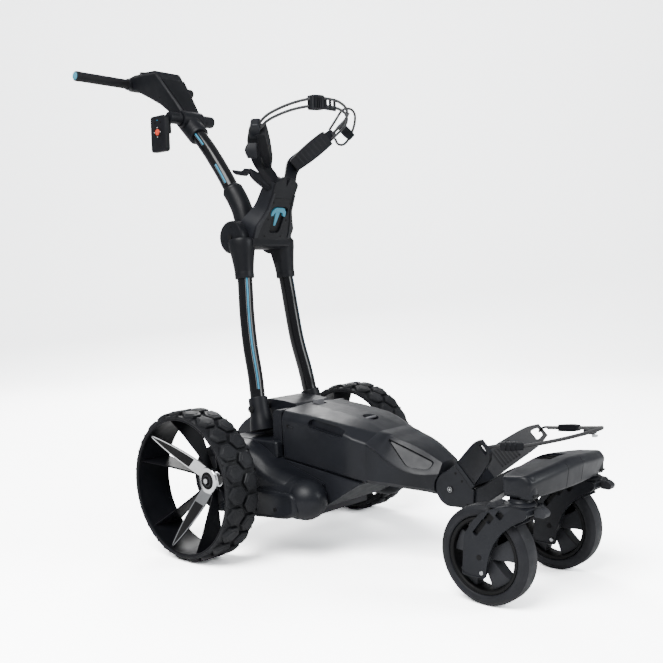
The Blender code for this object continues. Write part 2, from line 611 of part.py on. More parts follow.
def bag_bracket():
    """Y-shaped bracket with the release lever's keyhole and an arm behind each pad."""
    pivot = (0, FOLD_Y, FOLD_Z)
    body = [(0.044, -0.005), (0.055, 0.005), (0.057, 0.024), (0.045, 0.044), (0.036, 0.064),
            (0.033, 0.100), (0.036, 0.124), (0.016, 0.136)]
    bracket = finish("bag_bracket", plate_prism(body, 0, 0.006), BLACK_PLASTIC, pivot)
    upper = [(0.034, 0.066), (0.032, 0.100), (0.034, 0.122), (0.015, 0.132)]
    add(bracket, plate_prism(upper, 0.005, 0.026))
    for side in SIDES.values():
        along = (PAD_TIP - PAD_ROOT).normalized()
        back = -PAD_FACE * 0.0165
        stations = [on_plate(0.020, 0.108, 0.016), on_plate(0.026, 0.124, 0.020),
                    PAD_ROOT + along * 0.004 + back * 1.15, PAD_ROOT + along * 0.085 + back * 0.96]
        sizes = [(0.016, 0.009), (0.017, 0.008), (0.016, 0.0055), (0.010, 0.004)]
        width = along.cross(PAD_FACE)
        bars = [(mirror_x(p, side), hw, ht) for p, (hw, ht) in zip(stations, sizes)]
        add(bracket, beam(bars, mirror_x(width, side), mirror_x(PAD_FACE, side)))
    keyhole = [(0.013, 0.012), (0.017, 0.022), (0.018, 0.048), (0.025, 0.054),
               (0.025, 0.066), (0.016, 0.072)]
    cut(bracket, plate_prism(keyhole, -0.010, 0.060))


def bag_pads():
    """The two soft pads that the bag leans on."""
    along = (PAD_TIP - PAD_ROOT).normalized()
    for label, side in SIDES.items():
        stations = [(PAD_ROOT, 0.013, 0.006), (PAD_ROOT + along * 0.012, 0.018, 0.010),
                    (PAD_TIP - along * 0.012, 0.018, 0.010), (PAD_TIP, 0.013, 0.006)]
        bars = [(mirror_x(p, side), hw, ht) for p, hw, ht in stations]
        pad = beam(bars, mirror_x(along.cross(PAD_FACE), side), mirror_x(PAD_FACE, side))
        finish(f"bag_pad_{label}", pad, RUBBER, (0, FOLD_Y, FOLD_Z))


def upper_strap():
    """Elastic bag strap: two cords from pad to pad through one clip."""
    def route(drop, inset):
        return [(-0.1170, -0.0840, 0.869 - drop), (-0.095, -0.105, 0.884 - drop),
                (-0.055, -0.135 + inset, 0.900 - drop), (-0.012, -0.146 + inset, 0.908 - drop),
                (0.040, -0.150 + inset, 0.906 - drop), (0.085, -0.138 + inset, 0.896 - drop),
                (0.112, -0.110, 0.884 - drop), (0.1170, -0.0840, 0.869 - drop)]
    high, low = route(0, 0), route(0.016, 0.004)
    strap = finish("upper_strap", rod(high, 0.0022, 6, 2), RUBBER, (0, FOLD_Y, FOLD_Z))
    add(strap, beam([((-0.026, -0.1440, 0.8985), 0.013, 0.005), ((0.004, -0.1460, 0.9000), 0.013, 0.005)],
                    (0, 0, 1), (0, 1, 0)))
    add(strap, rod(low, 0.0022, 6, 2))


def release_lever():
    """Teal lever in the keyhole that frees the handle's fold."""
    pivot = on_plate(0, 0.030, 0.020)
    head = [(0.017, 0.051), (0.022, 0.056), (0.021, 0.065), (0.012, 0.069)]
    lever = finish("release_lever", plate_prism(head, 0.003, 0.009), TEAL, pivot)
    add(lever, plate_prism([(0.006, 0.026), (0.006, 0.055)], 0.0045, 0.0085))


def strap_lever():
    """Clamp lever behind the right arm that tightens the strap."""
    profile = [(-0.0080, 0.7760), (0.0050, 0.7700), (0.0300, 0.7780), (0.0340, 0.7860),
               (0.0220, 0.7840), (0.0040, 0.7800), (-0.0060, 0.7860)]
    finish("strap_lever", side_prism(profile, -0.0900, -0.0740), BLACK_PLASTIC, (-0.082, -0.002, 0.779))


# ---- console, grip bar and remote ---------------------------------------
def console():
    """Wedge-shaped control head with a display on top and the grip bar at its rear."""
    pivot = (0, KNEE_Y, KNEE_Z)

    def section(y_top, z_top, y_low, z_low, half_top, half_low):
        return [(-half_low, y_low, z_low), (half_low, y_low, z_low), (half_top, y_top, z_top),
                (-half_top, y_top, z_top)]
    body = finish("console_body", loft([
        section(0.4860, 1.0560, 0.4860, 1.0260, 0.020, 0.016),
        section(0.4500, 1.0600, 0.4450, 1.0180, 0.024, 0.018),
        section(0.3400, 1.0500, 0.3500, 0.9740, 0.040, 0.024),
        section(0.3280, 1.0300, 0.3080, 0.9440, 0.038, 0.025),
        section(0.2480, 0.9280, 0.2760, 0.9020, 0.022, 0.022),
        section(0.2420, 0.9140, 0.2620, 0.8920, 0.018, 0.019),
    ]), BLACK_PLASTIC, pivot)
    add(body, cylinder((-0.0300, STUB_Y, STUB_Z), (0.0300, STUB_Y, STUB_Z), 0.0190))
    add(body, cylinder((0, 0.2380, 0.8875), (0, 0.2850, 0.9330), 0.0245))
    cut(body, rod([(0, 0.2010, 0.848), (0, 0.2280, 0.878), (0, 0.2560, 0.9050)],
                  HANDLE_TUBE_R + 0.0008, 16, 2))
    cut(body, cylinder((-0.100, STUB_Y, STUB_Z), (0.100, STUB_Y, STUB_Z), 0.0080, 16))
    cut(body, cylinder((-0.100, BAR_Y, BAR_Z), (0.100, BAR_Y, BAR_Z), BAR_R + GAP, 16))
    cut(body, cylinder((0, 0.440, 1.052), (0, 0.4366, 1.090), 0.0090, 20))

    slope = Vector((0, 0.110, 0.010)).normalized()
    up = Vector((1, 0, 0)).cross(slope)
    corners = [Vector((-0.037, 0.3440, 1.0507)), Vector((0.037, 0.3440, 1.0507)),
               Vector((0.026, 0.4240, 1.0580)), Vector((-0.026, 0.4240, 1.0580))]
    finish("console_display", loft([[c + up * 0.0006 for c in corners], [c + up * 0.0042 for c in corners]]),
           PANEL, pivot)
    dial = [(0.0, 0.0084), (0.012, 0.0084), (0.014, 0.0070)]
    finish("speed_dial", turned(dial, (0, 0.4398, 1.0530), (0, -0.088, 0.996), 20), GREY_PLASTIC,
           (0, 0.4398, 1.0530))

    bar_end = BAR_HALF - 0.014
    finish("grip_bar", cylinder((-bar_end, BAR_Y, BAR_Z), (bar_end, BAR_Y, BAR_Z), BAR_R, 16), RUBBER, pivot)
    for label, side in SIDES.items():
        cap = [(BAR_HALF - 0.0136, BAR_R), (BAR_HALF - 0.003, BAR_R), (BAR_HALF, 0.0085)]
        finish(f"grip_cap_{label}", turned(cap, (0, BAR_Y, BAR_Z), (side, 0, 0), 16), TEAL, pivot)
    finish("accessory_bar", turned([(-0.0640, 0.0135), (-0.0308, 0.0135), (-0.0308, 0.0076), (0.0308, 0.0076),
                                    (0.0308, 0.0135), (0.0640, 0.0135)],
                                   (0, STUB_Y, STUB_Z), (1, 0, 0), 16), BLACK_PLASTIC, pivot)


def remote():
    """Remote control that hangs on the right end of the accessory bar."""
    pivot = (-0.0730, 0.2890, 0.9340)
    case = finish("remote_body", box((-0.0800, 0.2660, 0.8530), (-0.0650, 0.3140, 0.9330)),
                  GREY_PLASTIC, pivot)
    cut(case, cylinder((-0.090, 0.2900, 0.8960), (-0.0745, 0.2900, 0.8960), 0.0078, 16))
    button = [(0.0775, 0.0072), (0.0815, 0.0072), (0.0822, 0.0058)]
    finish("remote_button", turned(button, (0, 0.2900, 0.8960), (-1, 0, 0), 16), RED,
           (-0.0790, 0.2900, 0.8960))


# ---- build --------------------------------------------------------------
chassis_base()
rear_housing()
battery()
nose()
front_arm()
bumper()
lower_cradle()
lower_strap()
lower_frame()
knee()
handle()
bag_bracket()
bag_pads()
upper_strap()
release_lever()
strap_lever()
console()
remote()
for name, side_sign in SIDES.items():
    rear_wheel(name, side_sign)
    drive_unit(name, side_sign)
    caster(name, side_sign)
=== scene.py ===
"""Electric golf trolley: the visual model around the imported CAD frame.

Units are metres, +Z is up and the trolley drives towards -Y; its right side is -X.
Shapes are written with y = 0 at the rear axle, and every piece's object is placed at
(0, AXLE_Y, 0), as the CAD parts are.
"""
import math

import bmesh
import bpy
from mathutils import Matrix, Vector


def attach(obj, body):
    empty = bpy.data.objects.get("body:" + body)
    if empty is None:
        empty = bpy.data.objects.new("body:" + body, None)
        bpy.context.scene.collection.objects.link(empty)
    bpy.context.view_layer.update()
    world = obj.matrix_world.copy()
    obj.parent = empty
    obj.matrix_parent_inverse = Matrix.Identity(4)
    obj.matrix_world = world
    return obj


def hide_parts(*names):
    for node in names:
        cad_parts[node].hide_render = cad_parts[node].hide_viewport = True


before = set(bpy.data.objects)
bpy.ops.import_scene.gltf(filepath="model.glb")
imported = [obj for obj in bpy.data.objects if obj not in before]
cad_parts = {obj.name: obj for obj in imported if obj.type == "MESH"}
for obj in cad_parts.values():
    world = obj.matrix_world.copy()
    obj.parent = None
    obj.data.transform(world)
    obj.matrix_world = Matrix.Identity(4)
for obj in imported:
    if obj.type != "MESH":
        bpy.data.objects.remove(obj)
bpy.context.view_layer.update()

# ---- driving dimensions -------------------------------------------------
AXLE_Y = 0.1307
GAP = 0.0004
SIDES = {"right": -1, "left": 1}

WHEEL_R = 0.15
WHEEL_X = 0.25
RIM_R = 0.1363
RIM_WALL = 0.0043
STAR_ANGLE = 46
BLADE_ANGLE = 16
TREAD_COUNT = 22
TREAD_COLUMNS = ((-0.0558, 0.0), (-0.0186, 0.5), (0.0186, 0.0), (0.0558, 0.5))
BLADE_COUNT = 6
STAR_ARMS = 3
STAR_ROOT_R = 0.0255
STAR_TIP_R = 0.13
STAR_ROOT_ALONG = -0.0372
STAR_TIP_ALONG = 0.0352

MOTOR_X = 0.13
MOTOR_Z = 0.122
MOTOR_CAN_R = 0.0412
SEAM_Y = -0.1
BATTERY_FRONT_Y = -0.31
TRAY_Z_REAR = 0.186
TRAY_Z_FRONT = 0.16

KNEE = Vector((0, 0.06, 0.645))
ARM = Vector((0, -0.468, 0.16))
FRAME_TUBE_R = 0.0159
HANDLE_TUBE_R = 0.0173

CASTER_X = 0.119
SWIVEL_Y = -0.662
CASTER_Y = -0.599
CASTER_R = 0.085
SPOKE_COUNT = 5

BAR = Vector((0, 0.468, 1.039))
STUB = Vector((0, 0.268, 0.929))
DIAL = Vector((0, 0.4398, 1.053))
DIAL_AXIS = Vector((0, -0.088, 0.996)).normalized()
DIAL_FLUTES = 18
SCREEN_Z = 1.0507
SCREEN_SLOPE = 0.0926
REMOTE_FACE_X = -0.0797
REMOTE_KEY_Y = 0.29
REMOTE_KEY_Z = 0.896


# ---- materials ----------------------------------------------------------
def shader_tree(name):
    """A new material with its node tree and Principled shader."""
    mat = bpy.data.materials.new(name)
    mat.use_nodes = True
    tree = mat.node_tree
    return mat, tree, tree.nodes["Principled BSDF"]


def add_node(tree, kind, **values):
    """A node with its properties or input sockets set by name."""
    made = tree.nodes.new(kind)
    for key, value in values.items():
        if key in made.inputs:
            made.inputs[key].default_value = value
        else:
            setattr(made, key, value)
    return made


def ramp(tree, source, low, high, first, second):
    """source stretched so low..high runs from the first to the second value."""
    made = add_node(tree, "ShaderNodeMapRange", clamp=True)
    for key, value in (("From Min", low), ("From Max", high), ("To Min", first), ("To Max", second)):
        made.inputs[key].default_value = value
    tree.links.new(source, made.inputs["Value"])
    return made.outputs["Result"]


def blend_colour(tree, factor, first, second):
    """Mix of two colours (or a socket and a colour) by a factor socket."""
    made = add_node(tree, "ShaderNodeMix", data_type="RGBA")
    tree.links.new(factor, made.inputs["Factor"])
    for index, value in ((6, first), (7, second)):
        if isinstance(value, bpy.types.NodeSocket):
            tree.links.new(value, made.inputs[index])
        else:
            made.inputs[index].default_value = (*value, 1)
    return made.outputs[2]


def noise(tree, scale, detail=3.0, stretch=(1, 1, 1)):
    """Noise in object coordinates."""
    place = add_node(tree, "ShaderNodeTexCoord")
    warp = add_node(tree, "ShaderNodeMapping")
    warp.inputs["Scale"].default_value = stretch
    made = add_node(tree, "ShaderNodeTexNoise", Scale=scale, Detail=detail)
    tree.links.new(place.outputs["Object"], warp.inputs["Vector"])
    tree.links.new(warp.outputs["Vector"], made.inputs["Vector"])
    return made.outputs["Fac"]


def bump(tree, shader, height, distance, strength=1.0):
    """Surface relief from a height socket, in metres."""
    made = add_node(tree, "ShaderNodeBump", Strength=strength, Distance=distance)
    tree.links.new(height, made.inputs["Height"])
    tree.links.new(made.outputs["Normal"], shader.inputs["Normal"])


def moulded(name, colour, roughness, grain=0.00003, grain_scale=1800, coat=0.0, wear=0.35, metal=0.0,
            shine=0.2):
    """Moulded or painted surface: fine grain, cloudy roughness and slightly rubbed edges."""
    mat, tree, shader = shader_tree(name)
    cloud = noise(tree, 14, 4)
    dark = tuple(c * 0.82 for c in colour)
    light = tuple(c * 1.2 + 0.001 for c in colour)
    base = blend_colour(tree, ramp(tree, cloud, 0.3, 0.7, 0, 1), dark, light)
    edge = add_node(tree, "ShaderNodeNewGeometry").outputs["Pointiness"]
    rubbed = tuple(min(1.0, c * 1.6 + 0.012) for c in colour)
    tree.links.new(blend_colour(tree, ramp(tree, edge, 0.53, 0.62, 0, wear), base, rubbed),
                   shader.inputs["Base Color"])
    smudge = noise(tree, 45, 5)
    tree.links.new(ramp(tree, smudge, 0.3, 0.7, roughness * 0.86, roughness * 1.14),
                   shader.inputs["Roughness"])
    shader.inputs["Metallic"].default_value = metal
    shader.inputs["Specular IOR Level"].default_value = shine
    shader.inputs["Coat Weight"].default_value = coat
    shader.inputs["Coat Roughness"].default_value = 0.08
    bump(tree, shader, noise(tree, grain_scale, 2), grain)
    return mat


def tyre_rubber(name, colour):
    """Rubber with dust that settles unevenly, and a fine moulded skin."""
    mat, tree, shader = shader_tree(name)
    dust = ramp(tree, noise(tree, 22, 6), 0.35, 0.75, 0, 1)
    dusty = tuple(c * 1.45 + 0.003 for c in colour)
    shader.inputs["Specular IOR Level"].default_value = 0.24
    tree.links.new(blend_colour(tree, dust, colour, dusty), shader.inputs["Base Color"])
    tree.links.new(ramp(tree, noise(tree, 60, 4), 0.3, 0.7, 0.44, 0.62), shader.inputs["Roughness"])
    bump(tree, shader, noise(tree, 900, 3), 0.00008)
    return mat


def brushed(name, colour, roughness, stretch):
    """Metal with fine lines along one direction."""
    mat, tree, shader = shader_tree(name)
    lines = noise(tree, 500, 2, stretch)
    dull = tuple(c * 0.8 for c in colour)
    tree.links.new(blend_colour(tree, ramp(tree, noise(tree, 30, 4), 0.3, 0.7, 0, 1), dull, colour),
                   shader.inputs["Base Color"])
    tree.links.new(ramp(tree, lines, 0.3, 0.7, roughness * 0.7, roughness * 1.4), shader.inputs["Roughness"])
    shader.inputs["Metallic"].default_value = 1.0
    bump(tree, shader, lines, 0.00002)
    return mat


def braided(name, colour):
    """Woven sleeve of an elastic cord: crossed fine threads."""
    mat, tree, shader = shader_tree(name)
    place = add_node(tree, "ShaderNodeTexCoord")
    heights = []
    for turn in (0.8, -0.8):
        warp = add_node(tree, "ShaderNodeMapping")
        warp.inputs["Rotation"].default_value = (turn, turn * 0.6, turn)
        wave = add_node(tree, "ShaderNodeTexWave", Scale=330, Distortion=0.6)
        tree.links.new(place.outputs["Object"], warp.inputs["Vector"])
        tree.links.new(warp.outputs["Vector"], wave.inputs["Vector"])
        heights.append(wave.outputs["Fac"])
    weave = add_node(tree, "ShaderNodeMath", operation="MULTIPLY")
    tree.links.new(heights[0], weave.inputs[0])
    tree.links.new(heights[1], weave.inputs[1])
    pale = tuple(c * 2.2 + 0.01 for c in colour)
    tree.links.new(blend_colour(tree, weave.outputs[0], colour, pale), shader.inputs["Base Color"])
    shader.inputs["Roughness"].default_value = 0.72
    shader.inputs["Sheen Weight"].default_value = 0.3
    bump(tree, shader, weave.outputs[0], 0.0004)
    return mat


PLASTIC = moulded("satin_black_plastic", (0.007, 0.0076, 0.01), 0.42)
SHELL = moulded("shell_black_plastic", (0.0085, 0.0095, 0.013), 0.38, shine=0.28)
DARK = moulded("deep_black_plastic", (0.0035, 0.0036, 0.0042), 0.55, shine=0.2)
GREY = moulded("dark_grey_plastic", (0.026, 0.027, 0.031), 0.42)
CATCH = moulded("catch_grey_plastic", (0.13, 0.13, 0.14), 0.4)
GLOSS = moulded("gloss_black_barrel", (0.005, 0.0052, 0.007), 0.38, grain=0.00001, wear=0.1, shine=0.12)
TUBE = moulded("gloss_black_tube", (0.004, 0.0042, 0.0055), 0.2, grain=0.000006, grain_scale=500, coat=0.35,
               wear=0.05)
RUBBER = tyre_rubber("tyre_rubber", (0.0075, 0.008, 0.0098))
SMOOTH_RUBBER = tyre_rubber("caster_rubber", (0.013, 0.0136, 0.0165))
PAD = moulded("pad_rubber", (0.0085, 0.009, 0.011), 0.55, grain=0.00012, grain_scale=700)
GRIP = moulded("grip_foam", (0.011, 0.0112, 0.013), 0.6, grain=0.0002, grain_scale=1100)
TEAL = moulded("blue_trim_plastic", (0.075, 0.3, 0.42), 0.36, wear=0.2)
BLUE_LINE = moulded("blue_line_paint", (0.055, 0.29, 0.46), 0.25, grain=0.00001, coat=0.4, wear=0.0)
SILVER_LINE = moulded("silver_line_paint", (0.42, 0.43, 0.45), 0.3, grain=0.00001, wear=0.0, metal=0.6)
RED = moulded("red_key_plastic", (0.8, 0.075, 0.035), 0.38, wear=0.0)
WHITE = moulded("pale_mark_paint", (0.72, 0.74, 0.76), 0.45, wear=0.0)
CHROME = brushed("chrome_edge", (0.86, 0.87, 0.89), 0.1, (1, 1, 1))
STEEL = brushed("turned_steel", (0.62, 0.63, 0.65), 0.26, (1, 6, 6))
CORD = braided("braided_cord", (0.016, 0.016, 0.018))
GLASS = moulded("display_glass", (0.004, 0.004, 0.005), 0.05, grain=0.000002, coat=1.0, wear=0.0)
CELLS = moulded("cell_wrap", (0.05, 0.12, 0.3), 0.5)


# ---- mesh helpers -------------------------------------------------------
def mm(values):
    """Nested lists and tuples of millimetres, in metres."""
    if isinstance(values, (list, tuple)):
        return type(values)(mm(v) for v in values)
    return values / 1000


def loft(rings, closed=False, caps=True):
    """Quads between equal rings of points; closed joins the last ring to the first."""
    bm = bmesh.new()
    made = [[bm.verts.new(p) for p in ring] for ring in rings]
    pairs = list(zip(made, made[1:]))
    if closed:
        pairs.append((made[-1], made[0]))
    for low, high in pairs:
        for k in range(len(low)):
            n = (k + 1) % len(low)
            bm.faces.new((low[k], low[n], high[n], high[k]))
    if caps and not closed:
        bm.faces.new(list(reversed(made[0])))
        bm.faces.new(made[-1])
    return bm


def merge(*parts):
    """One bmesh holding every part's faces."""
    whole = parts[0]
    for other in parts[1:]:
        mesh = bpy.data.meshes.new("merge")
        other.to_mesh(mesh)
        other.free()
        whole.from_mesh(mesh)
        bpy.data.meshes.remove(mesh)
    return whole


def frame_of(axis, across=None):
    """Two unit vectors square to the axis; the first leans towards across."""
    axis = Vector(axis).normalized()
    if across is None:
        across = Vector((0, 0, 1)) if abs(axis.z) < 0.9 else Vector((1, 0, 0))
    first = (Vector(across) - axis * axis.dot(Vector(across))).normalized()
    return first, axis.cross(first)


def turned(profile, start, axis, count=48, hollow=False):
    """A lathe shape from (along, radius) points; hollow joins the profile into a ring."""
    start, axis = Vector(start), Vector(axis).normalized()
    u, v = frame_of(axis)
    rings = []
    for along, radius in profile:
        ring = []
        for k in range(count):
            t = 2 * math.pi * k / count
            ring.append(start + axis * along + (u * math.cos(t) + v * math.sin(t)) * radius)
        rings.append(ring)
    return loft(rings, closed=hollow)


def cylinder(start, end, radius, count=32):
    """A round rod between two points."""
    start, end = Vector(start), Vector(end)
    return turned([(0, radius), ((end - start).length, radius)], start, end - start, count)


def box(low, high):
    """An axis-aligned block."""
    (x0, y0, z0), (x1, y1, z1) = low, high
    ring = [(x0, y0), (x1, y0), (x1, y1), (x0, y1)]
    return loft([[(x, y, z) for x, y in ring] for z in (z0, z1)])


def side_prism(outline, x0, x1):
    """A (y, z) outline extruded along X."""
    return loft([[(x, y, z) for y, z in outline] for x in (x0, x1)])


def arc(y, z, radius, start, end, steps):
    """Points (y, z) of an arc, angles in degrees from +Y towards +Z."""
    points = []
    for k in range(steps + 1):
        t = math.radians(start + (end - start) * k / steps)
        points.append((y + radius * math.cos(t), z + radius * math.sin(t)))
    return points


def smooth(points, steps):
    """Catmull-Rom curve through the points, steps to each stretch."""
    pts = [Vector(p) for p in points]
    pts = [pts[0] * 2 - pts[1]] + pts + [pts[-1] * 2 - pts[-2]]
    out = []
    for a, b, c, d in zip(pts, pts[1:], pts[2:], pts[3:]):
        for k in range(steps):
            t = k / steps
            out.append(0.5 * (2 * b + (c - a) * t + (2 * a - 5 * b + 4 * c - d) * t * t
                              + (3 * b - a - 3 * c + d) * t ** 3))
    out.append(pts[-2])
    return out


def rounded(outline, radius, steps=4):
    """A closed outline of 2-D points with its corners turned into arcs."""
    out = []
    count = len(outline)
    for k in range(count):
        p, q, r = (Vector(outline[(k + i) % count]) for i in (-1, 0, 1))
        a, b = p - q, r - q
        size = min(radius, a.length * 0.45, b.length * 0.45)
        start, end = q + a.normalized() * size, q + b.normalized() * size
        for i in range(steps + 1):
            t = i / steps
            out.append(tuple(start * (1 - t) ** 2 + q * 2 * t * (1 - t) + end * t * t))
    return out


def sweep(path, outline, across=None, closed=False):
    """An outline of (u, v) points carried along a path without twist; outline may be f(t)."""
    path = [Vector(p) for p in path]
    count = len(path)
    rings = []
    u = None
    for k, point in enumerate(path):
        before = path[(k - 1) % count] if closed or k else point
        after = path[(k + 1) % count] if closed or k < count - 1 else point
        tangent = (after - before).normalized()
        u = frame_of(tangent, u if u is not None else across)[0]
        v = tangent.cross(u)
        shape = outline(k / (count - 1)) if callable(outline) else outline
        rings.append([point + u * a + v * b for a, b in shape])
    return loft(rings, closed=closed)


def skin(rings, steps):
    """A loft whose lengthways lines are smooth curves through the rings."""
    lines = [smooth([ring[k] for ring in rings], steps) for k in range(len(rings[0]))]
    return loft([[line[k] for line in lines] for k in range(len(lines[0]))])


def circle(radius, count=16):
    """A round outline."""
    return [(radius * math.cos(2 * math.pi * k / count), radius * math.sin(2 * math.pi * k / count))
            for k in range(count)]


def beam(stations, width, thickness, steps=1):
    """A bar through (centre, half width, half thickness) stations, smoothed by steps."""
    w, t = Vector(width).normalized(), Vector(thickness).normalized()
    keys = [(*Vector(c), hw, ht) for c, hw, ht in stations]
    if steps > 1:
        keys = [(*a, b[0], b[1]) for a, b in zip(smooth([k[:3] for k in keys], steps),
                                                 smooth([(*k[3:], 0) for k in keys], steps))]
    rings = []
    for x, y, z, hw, ht in keys:
        c = Vector((x, y, z))
        rings.append([c - w * hw - t * ht, c + w * hw - t * ht, c + w * hw + t * ht, c - w * hw + t * ht])
    return loft(rings)


def both_sides(half):
    """A whole outline from the half at positive x, given as (x, other) points."""
    return list(half) + [(-x, other) for x, other in reversed(half)]


def mirror_x(point, side):
    """The same point on the given side of the trolley."""
    return Vector((side * point[0], point[1], point[2]))


def link(obj):
    """Puts an object in the scene."""
    bpy.context.scene.collection.objects.link(obj)


def applied(obj):
    """Bakes the object's modifiers into its mesh."""
    depsgraph = bpy.context.evaluated_depsgraph_get()
    mesh = bpy.data.meshes.new_from_object(obj.evaluated_get(depsgraph))
    old = obj.data
    obj.modifiers.clear()
    obj.data = mesh
    bpy.data.meshes.remove(old)


def piece(name, bm, mat, body, replaces=(), bevel=0.0, segments=2, cuts=(), sharp=40):
    """Finishes a bmesh as an object that rides on a body and stands for CAD nodes."""
    bmesh.ops.recalc_face_normals(bm, faces=bm.faces)
    mesh = bpy.data.meshes.new(name)
    bm.to_mesh(mesh)
    bm.free()
    mesh.materials.append(mat)
    obj = bpy.data.objects.new(name, mesh)
    link(obj)
    helpers = []
    for shape in cuts:
        bmesh.ops.recalc_face_normals(shape, faces=shape.faces)
        tool_mesh = bpy.data.meshes.new("tool")
        shape.to_mesh(tool_mesh)
        shape.free()
        tool = bpy.data.objects.new("tool", tool_mesh)
        link(tool)
        helpers.append(tool)
        boolean = obj.modifiers.new("boolean", "BOOLEAN")
        boolean.operation = "DIFFERENCE"
        boolean.object = tool
        boolean.solver = "EXACT"
    if bevel:
        edge = obj.modifiers.new("bevel", "BEVEL")
        edge.width = bevel
        edge.segments = segments
        edge.limit_method = "ANGLE"
        edge.angle_limit = math.radians(30)
    if obj.modifiers:
        applied(obj)
    for tool in helpers:
        bpy.data.objects.remove(tool, do_unlink=True)
    obj.data.shade_smooth()
    obj.data.set_sharp_from_angle(angle=math.radians(sharp))
    weighted = obj.modifiers.new("normals", "WEIGHTED_NORMAL")
    weighted.keep_sharp = True
    obj.location = (0, AXLE_Y, 0)
    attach(obj, body)
    if replaces:
        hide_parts(*replaces)
    return obj


def screw(name, centre, axis, radius, body, mat=None, height=0.0012):
    """A domed screw head with a hexagon socket."""
    head = [(-0.001, radius), (height * 0.5, radius), (height, radius * 0.72)]
    axis = Vector(axis).normalized()
    socket = turned([(height * 0.1, radius * 0.42), (height + 0.002, radius * 0.42)], centre, axis, 6)
    return piece(name, turned(head, centre, axis, 24), mat or STEEL, body, cuts=[socket])


# ---- rear wheels --------------------------------------------------------
def wheel_at(side, along, radius, angle):
    """A point in a rear wheel: along its axis outwards, then by radius and angle in radians."""
    return Vector((side * (WHEEL_X + along), radius * math.cos(angle), WHEEL_R + radius * math.sin(angle)))


def tread_top(along):
    """Radius of the tread blocks' tops across the tyre."""
    edge = abs(along)
    if edge < 0.029:
        return WHEEL_R
    if edge < 0.0365:
        return WHEEL_R - 0.0035 * (edge - 0.029) / 0.0075
    return WHEEL_R - 0.0035 - 0.006 * (edge - 0.0365) / 0.0035


def tread_block(side, column, angle):
    """A hexagonal block with wide bevels, cut off at the sidewall."""
    flat, tip = 0.019, 0.0219
    limit = 0.0396
    base = 0.1395

    def half_width(offset, inset):
        span = tip - inset * 1.155
        reach = (span - abs(offset)) / (span / 2)
        return max(0.0004, min(1.0, reach) * (flat - inset))
    rings = []
    for inset, level in ((0.0016, None), (0.0016, -0.0026), (0.003, -0.0009), (0.0066, -0.0009),
                         (0.0076, 0.0)):
        span = tip - inset * 1.155
        low = max(column - span, -limit + inset * 0.4)
        high = min(column + span, limit - inset * 0.4)
        stations = sorted({low, high} | {column + o for o in (-span / 2, -0.004, 0.004,
                                                              span / 2) if low < column + o < high})
        rows = []
        for k in range(6):
            along = low + (high - low) * k / 5
            nearest = min(stations, key=lambda s: abs(s - along))
            along = nearest if high - low > 0.03 else along
            half = half_width(along - column, inset)
            radius = base if level is None else tread_top(along) + level
            rows.append([wheel_at(side, along, radius, angle + half * f / WHEEL_R)
                         for f in (-1, -0.34, 0.34, 1)])
        rings.append(rows)
    bm = bmesh.new()
    loops = []
    for rows in rings:
        made = [[bm.verts.new(p) for p in row] for row in rows]
        loops.append(made)

    def border(rows):
        left = [row[0] for row in rows]
        right = [row[-1] for row in rows]
        return rows[0][:] + right[1:] + rows[-1][:-1][::-1] + left[1:-1][::-1]
    for low, high in zip(loops, loops[1:]):
        a, b = border(low), border(high)
        for k in range(len(a)):
            n = (k + 1) % len(a)
            bm.faces.new((a[k], a[n], b[n], b[k]))
    top = loops[-1]
    for row, after in zip(top, top[1:]):
        for k in range(3):
            bm.faces.new((row[k], row[k + 1], after[k + 1], after[k]))
    for vert in [v for rows in loops[:-1] for row in rows[1:-1] for v in row[1:-1]]:
        bm.verts.remove(vert)
    return bm


def rear_tyre(label, side):
    """Tyre carcass with staggered hexagonal tread blocks."""
    ring = [(-0.0396, RIM_R + GAP), (-0.04, 0.1385), (-0.0392, 0.1408), (-0.034, 0.1418), (0, 0.142),
            (0.034, 0.1418), (0.0392, 0.1408), (0.04, 0.1385), (0.0396, RIM_R + GAP)]
    axle = (side * WHEEL_X, 0, WHEEL_R)
    bm = turned(ring, axle, (side, 0, 0), 132, hollow=True)
    step = 2 * math.pi / TREAD_COUNT
    blocks = []
    for column, phase in TREAD_COLUMNS:
        for k in range(TREAD_COUNT):
            blocks.append(tread_block(side, column, (k + phase) * step))
    piece(f"tyre_{label}_visual", merge(bm, *blocks), RUBBER, f"rear_wheel_{label}", [f"tyre_{label}"],
          sharp=28)


def rear_rim(label, side):
    """Barrel with rolled lips, six blades and the inner hub."""
    body = f"rear_wheel_{label}"
    axle = Vector((side * WHEEL_X, 0, WHEEL_R))
    out = (side, 0, 0)
    inner = RIM_R - RIM_WALL
    ring = [(-0.0395, inner), (-0.0395, RIM_R), (0.0395, RIM_R), (0.0395, inner + 0.0012), (0.0385, inner),
            (0.0345, inner), (0.0335, inner + 0.0006), (-0.034, inner + 0.0006)]
    piece(f"rim_{label}_barrel", turned(ring, axle, out, 120, hollow=True), GLOSS, body, [f"rim_{label}"],
          sharp=35)
    blades = []
    for k in range(BLADE_COUNT):
        t = math.radians(BLADE_ANGLE + 60 * k)
        keys = mm([(18, -51, -43, 2.4), (60, -47, -19, 2), (100, -42.5, 6, 1.7), (132.5, -38.5, 30, 1.4)])
        rings = []
        for radius, low, high, half in keys:
            turn = half / radius
            rings.append([wheel_at(side, low, radius, t - turn), wheel_at(side, low, radius, t + turn),
                          wheel_at(side, high - 0.002, radius, t + turn),
                          wheel_at(side, high, radius, t + turn * 0.3),
                          wheel_at(side, high, radius, t - turn * 0.3),
                          wheel_at(side, high - 0.002, radius, t - turn)])
        blades.append(loft(rings))
    piece(f"rim_{label}_blades", merge(*blades), GLOSS, body, sharp=35)
    hub = mm([(-52, 8), (-52, 20), (-50.5, 22), (-43, 22), (-42, 21), (-42, 8)])
    piece(f"rim_{label}_hub", turned(hub, axle, out, 48, hollow=True), DARK, body)


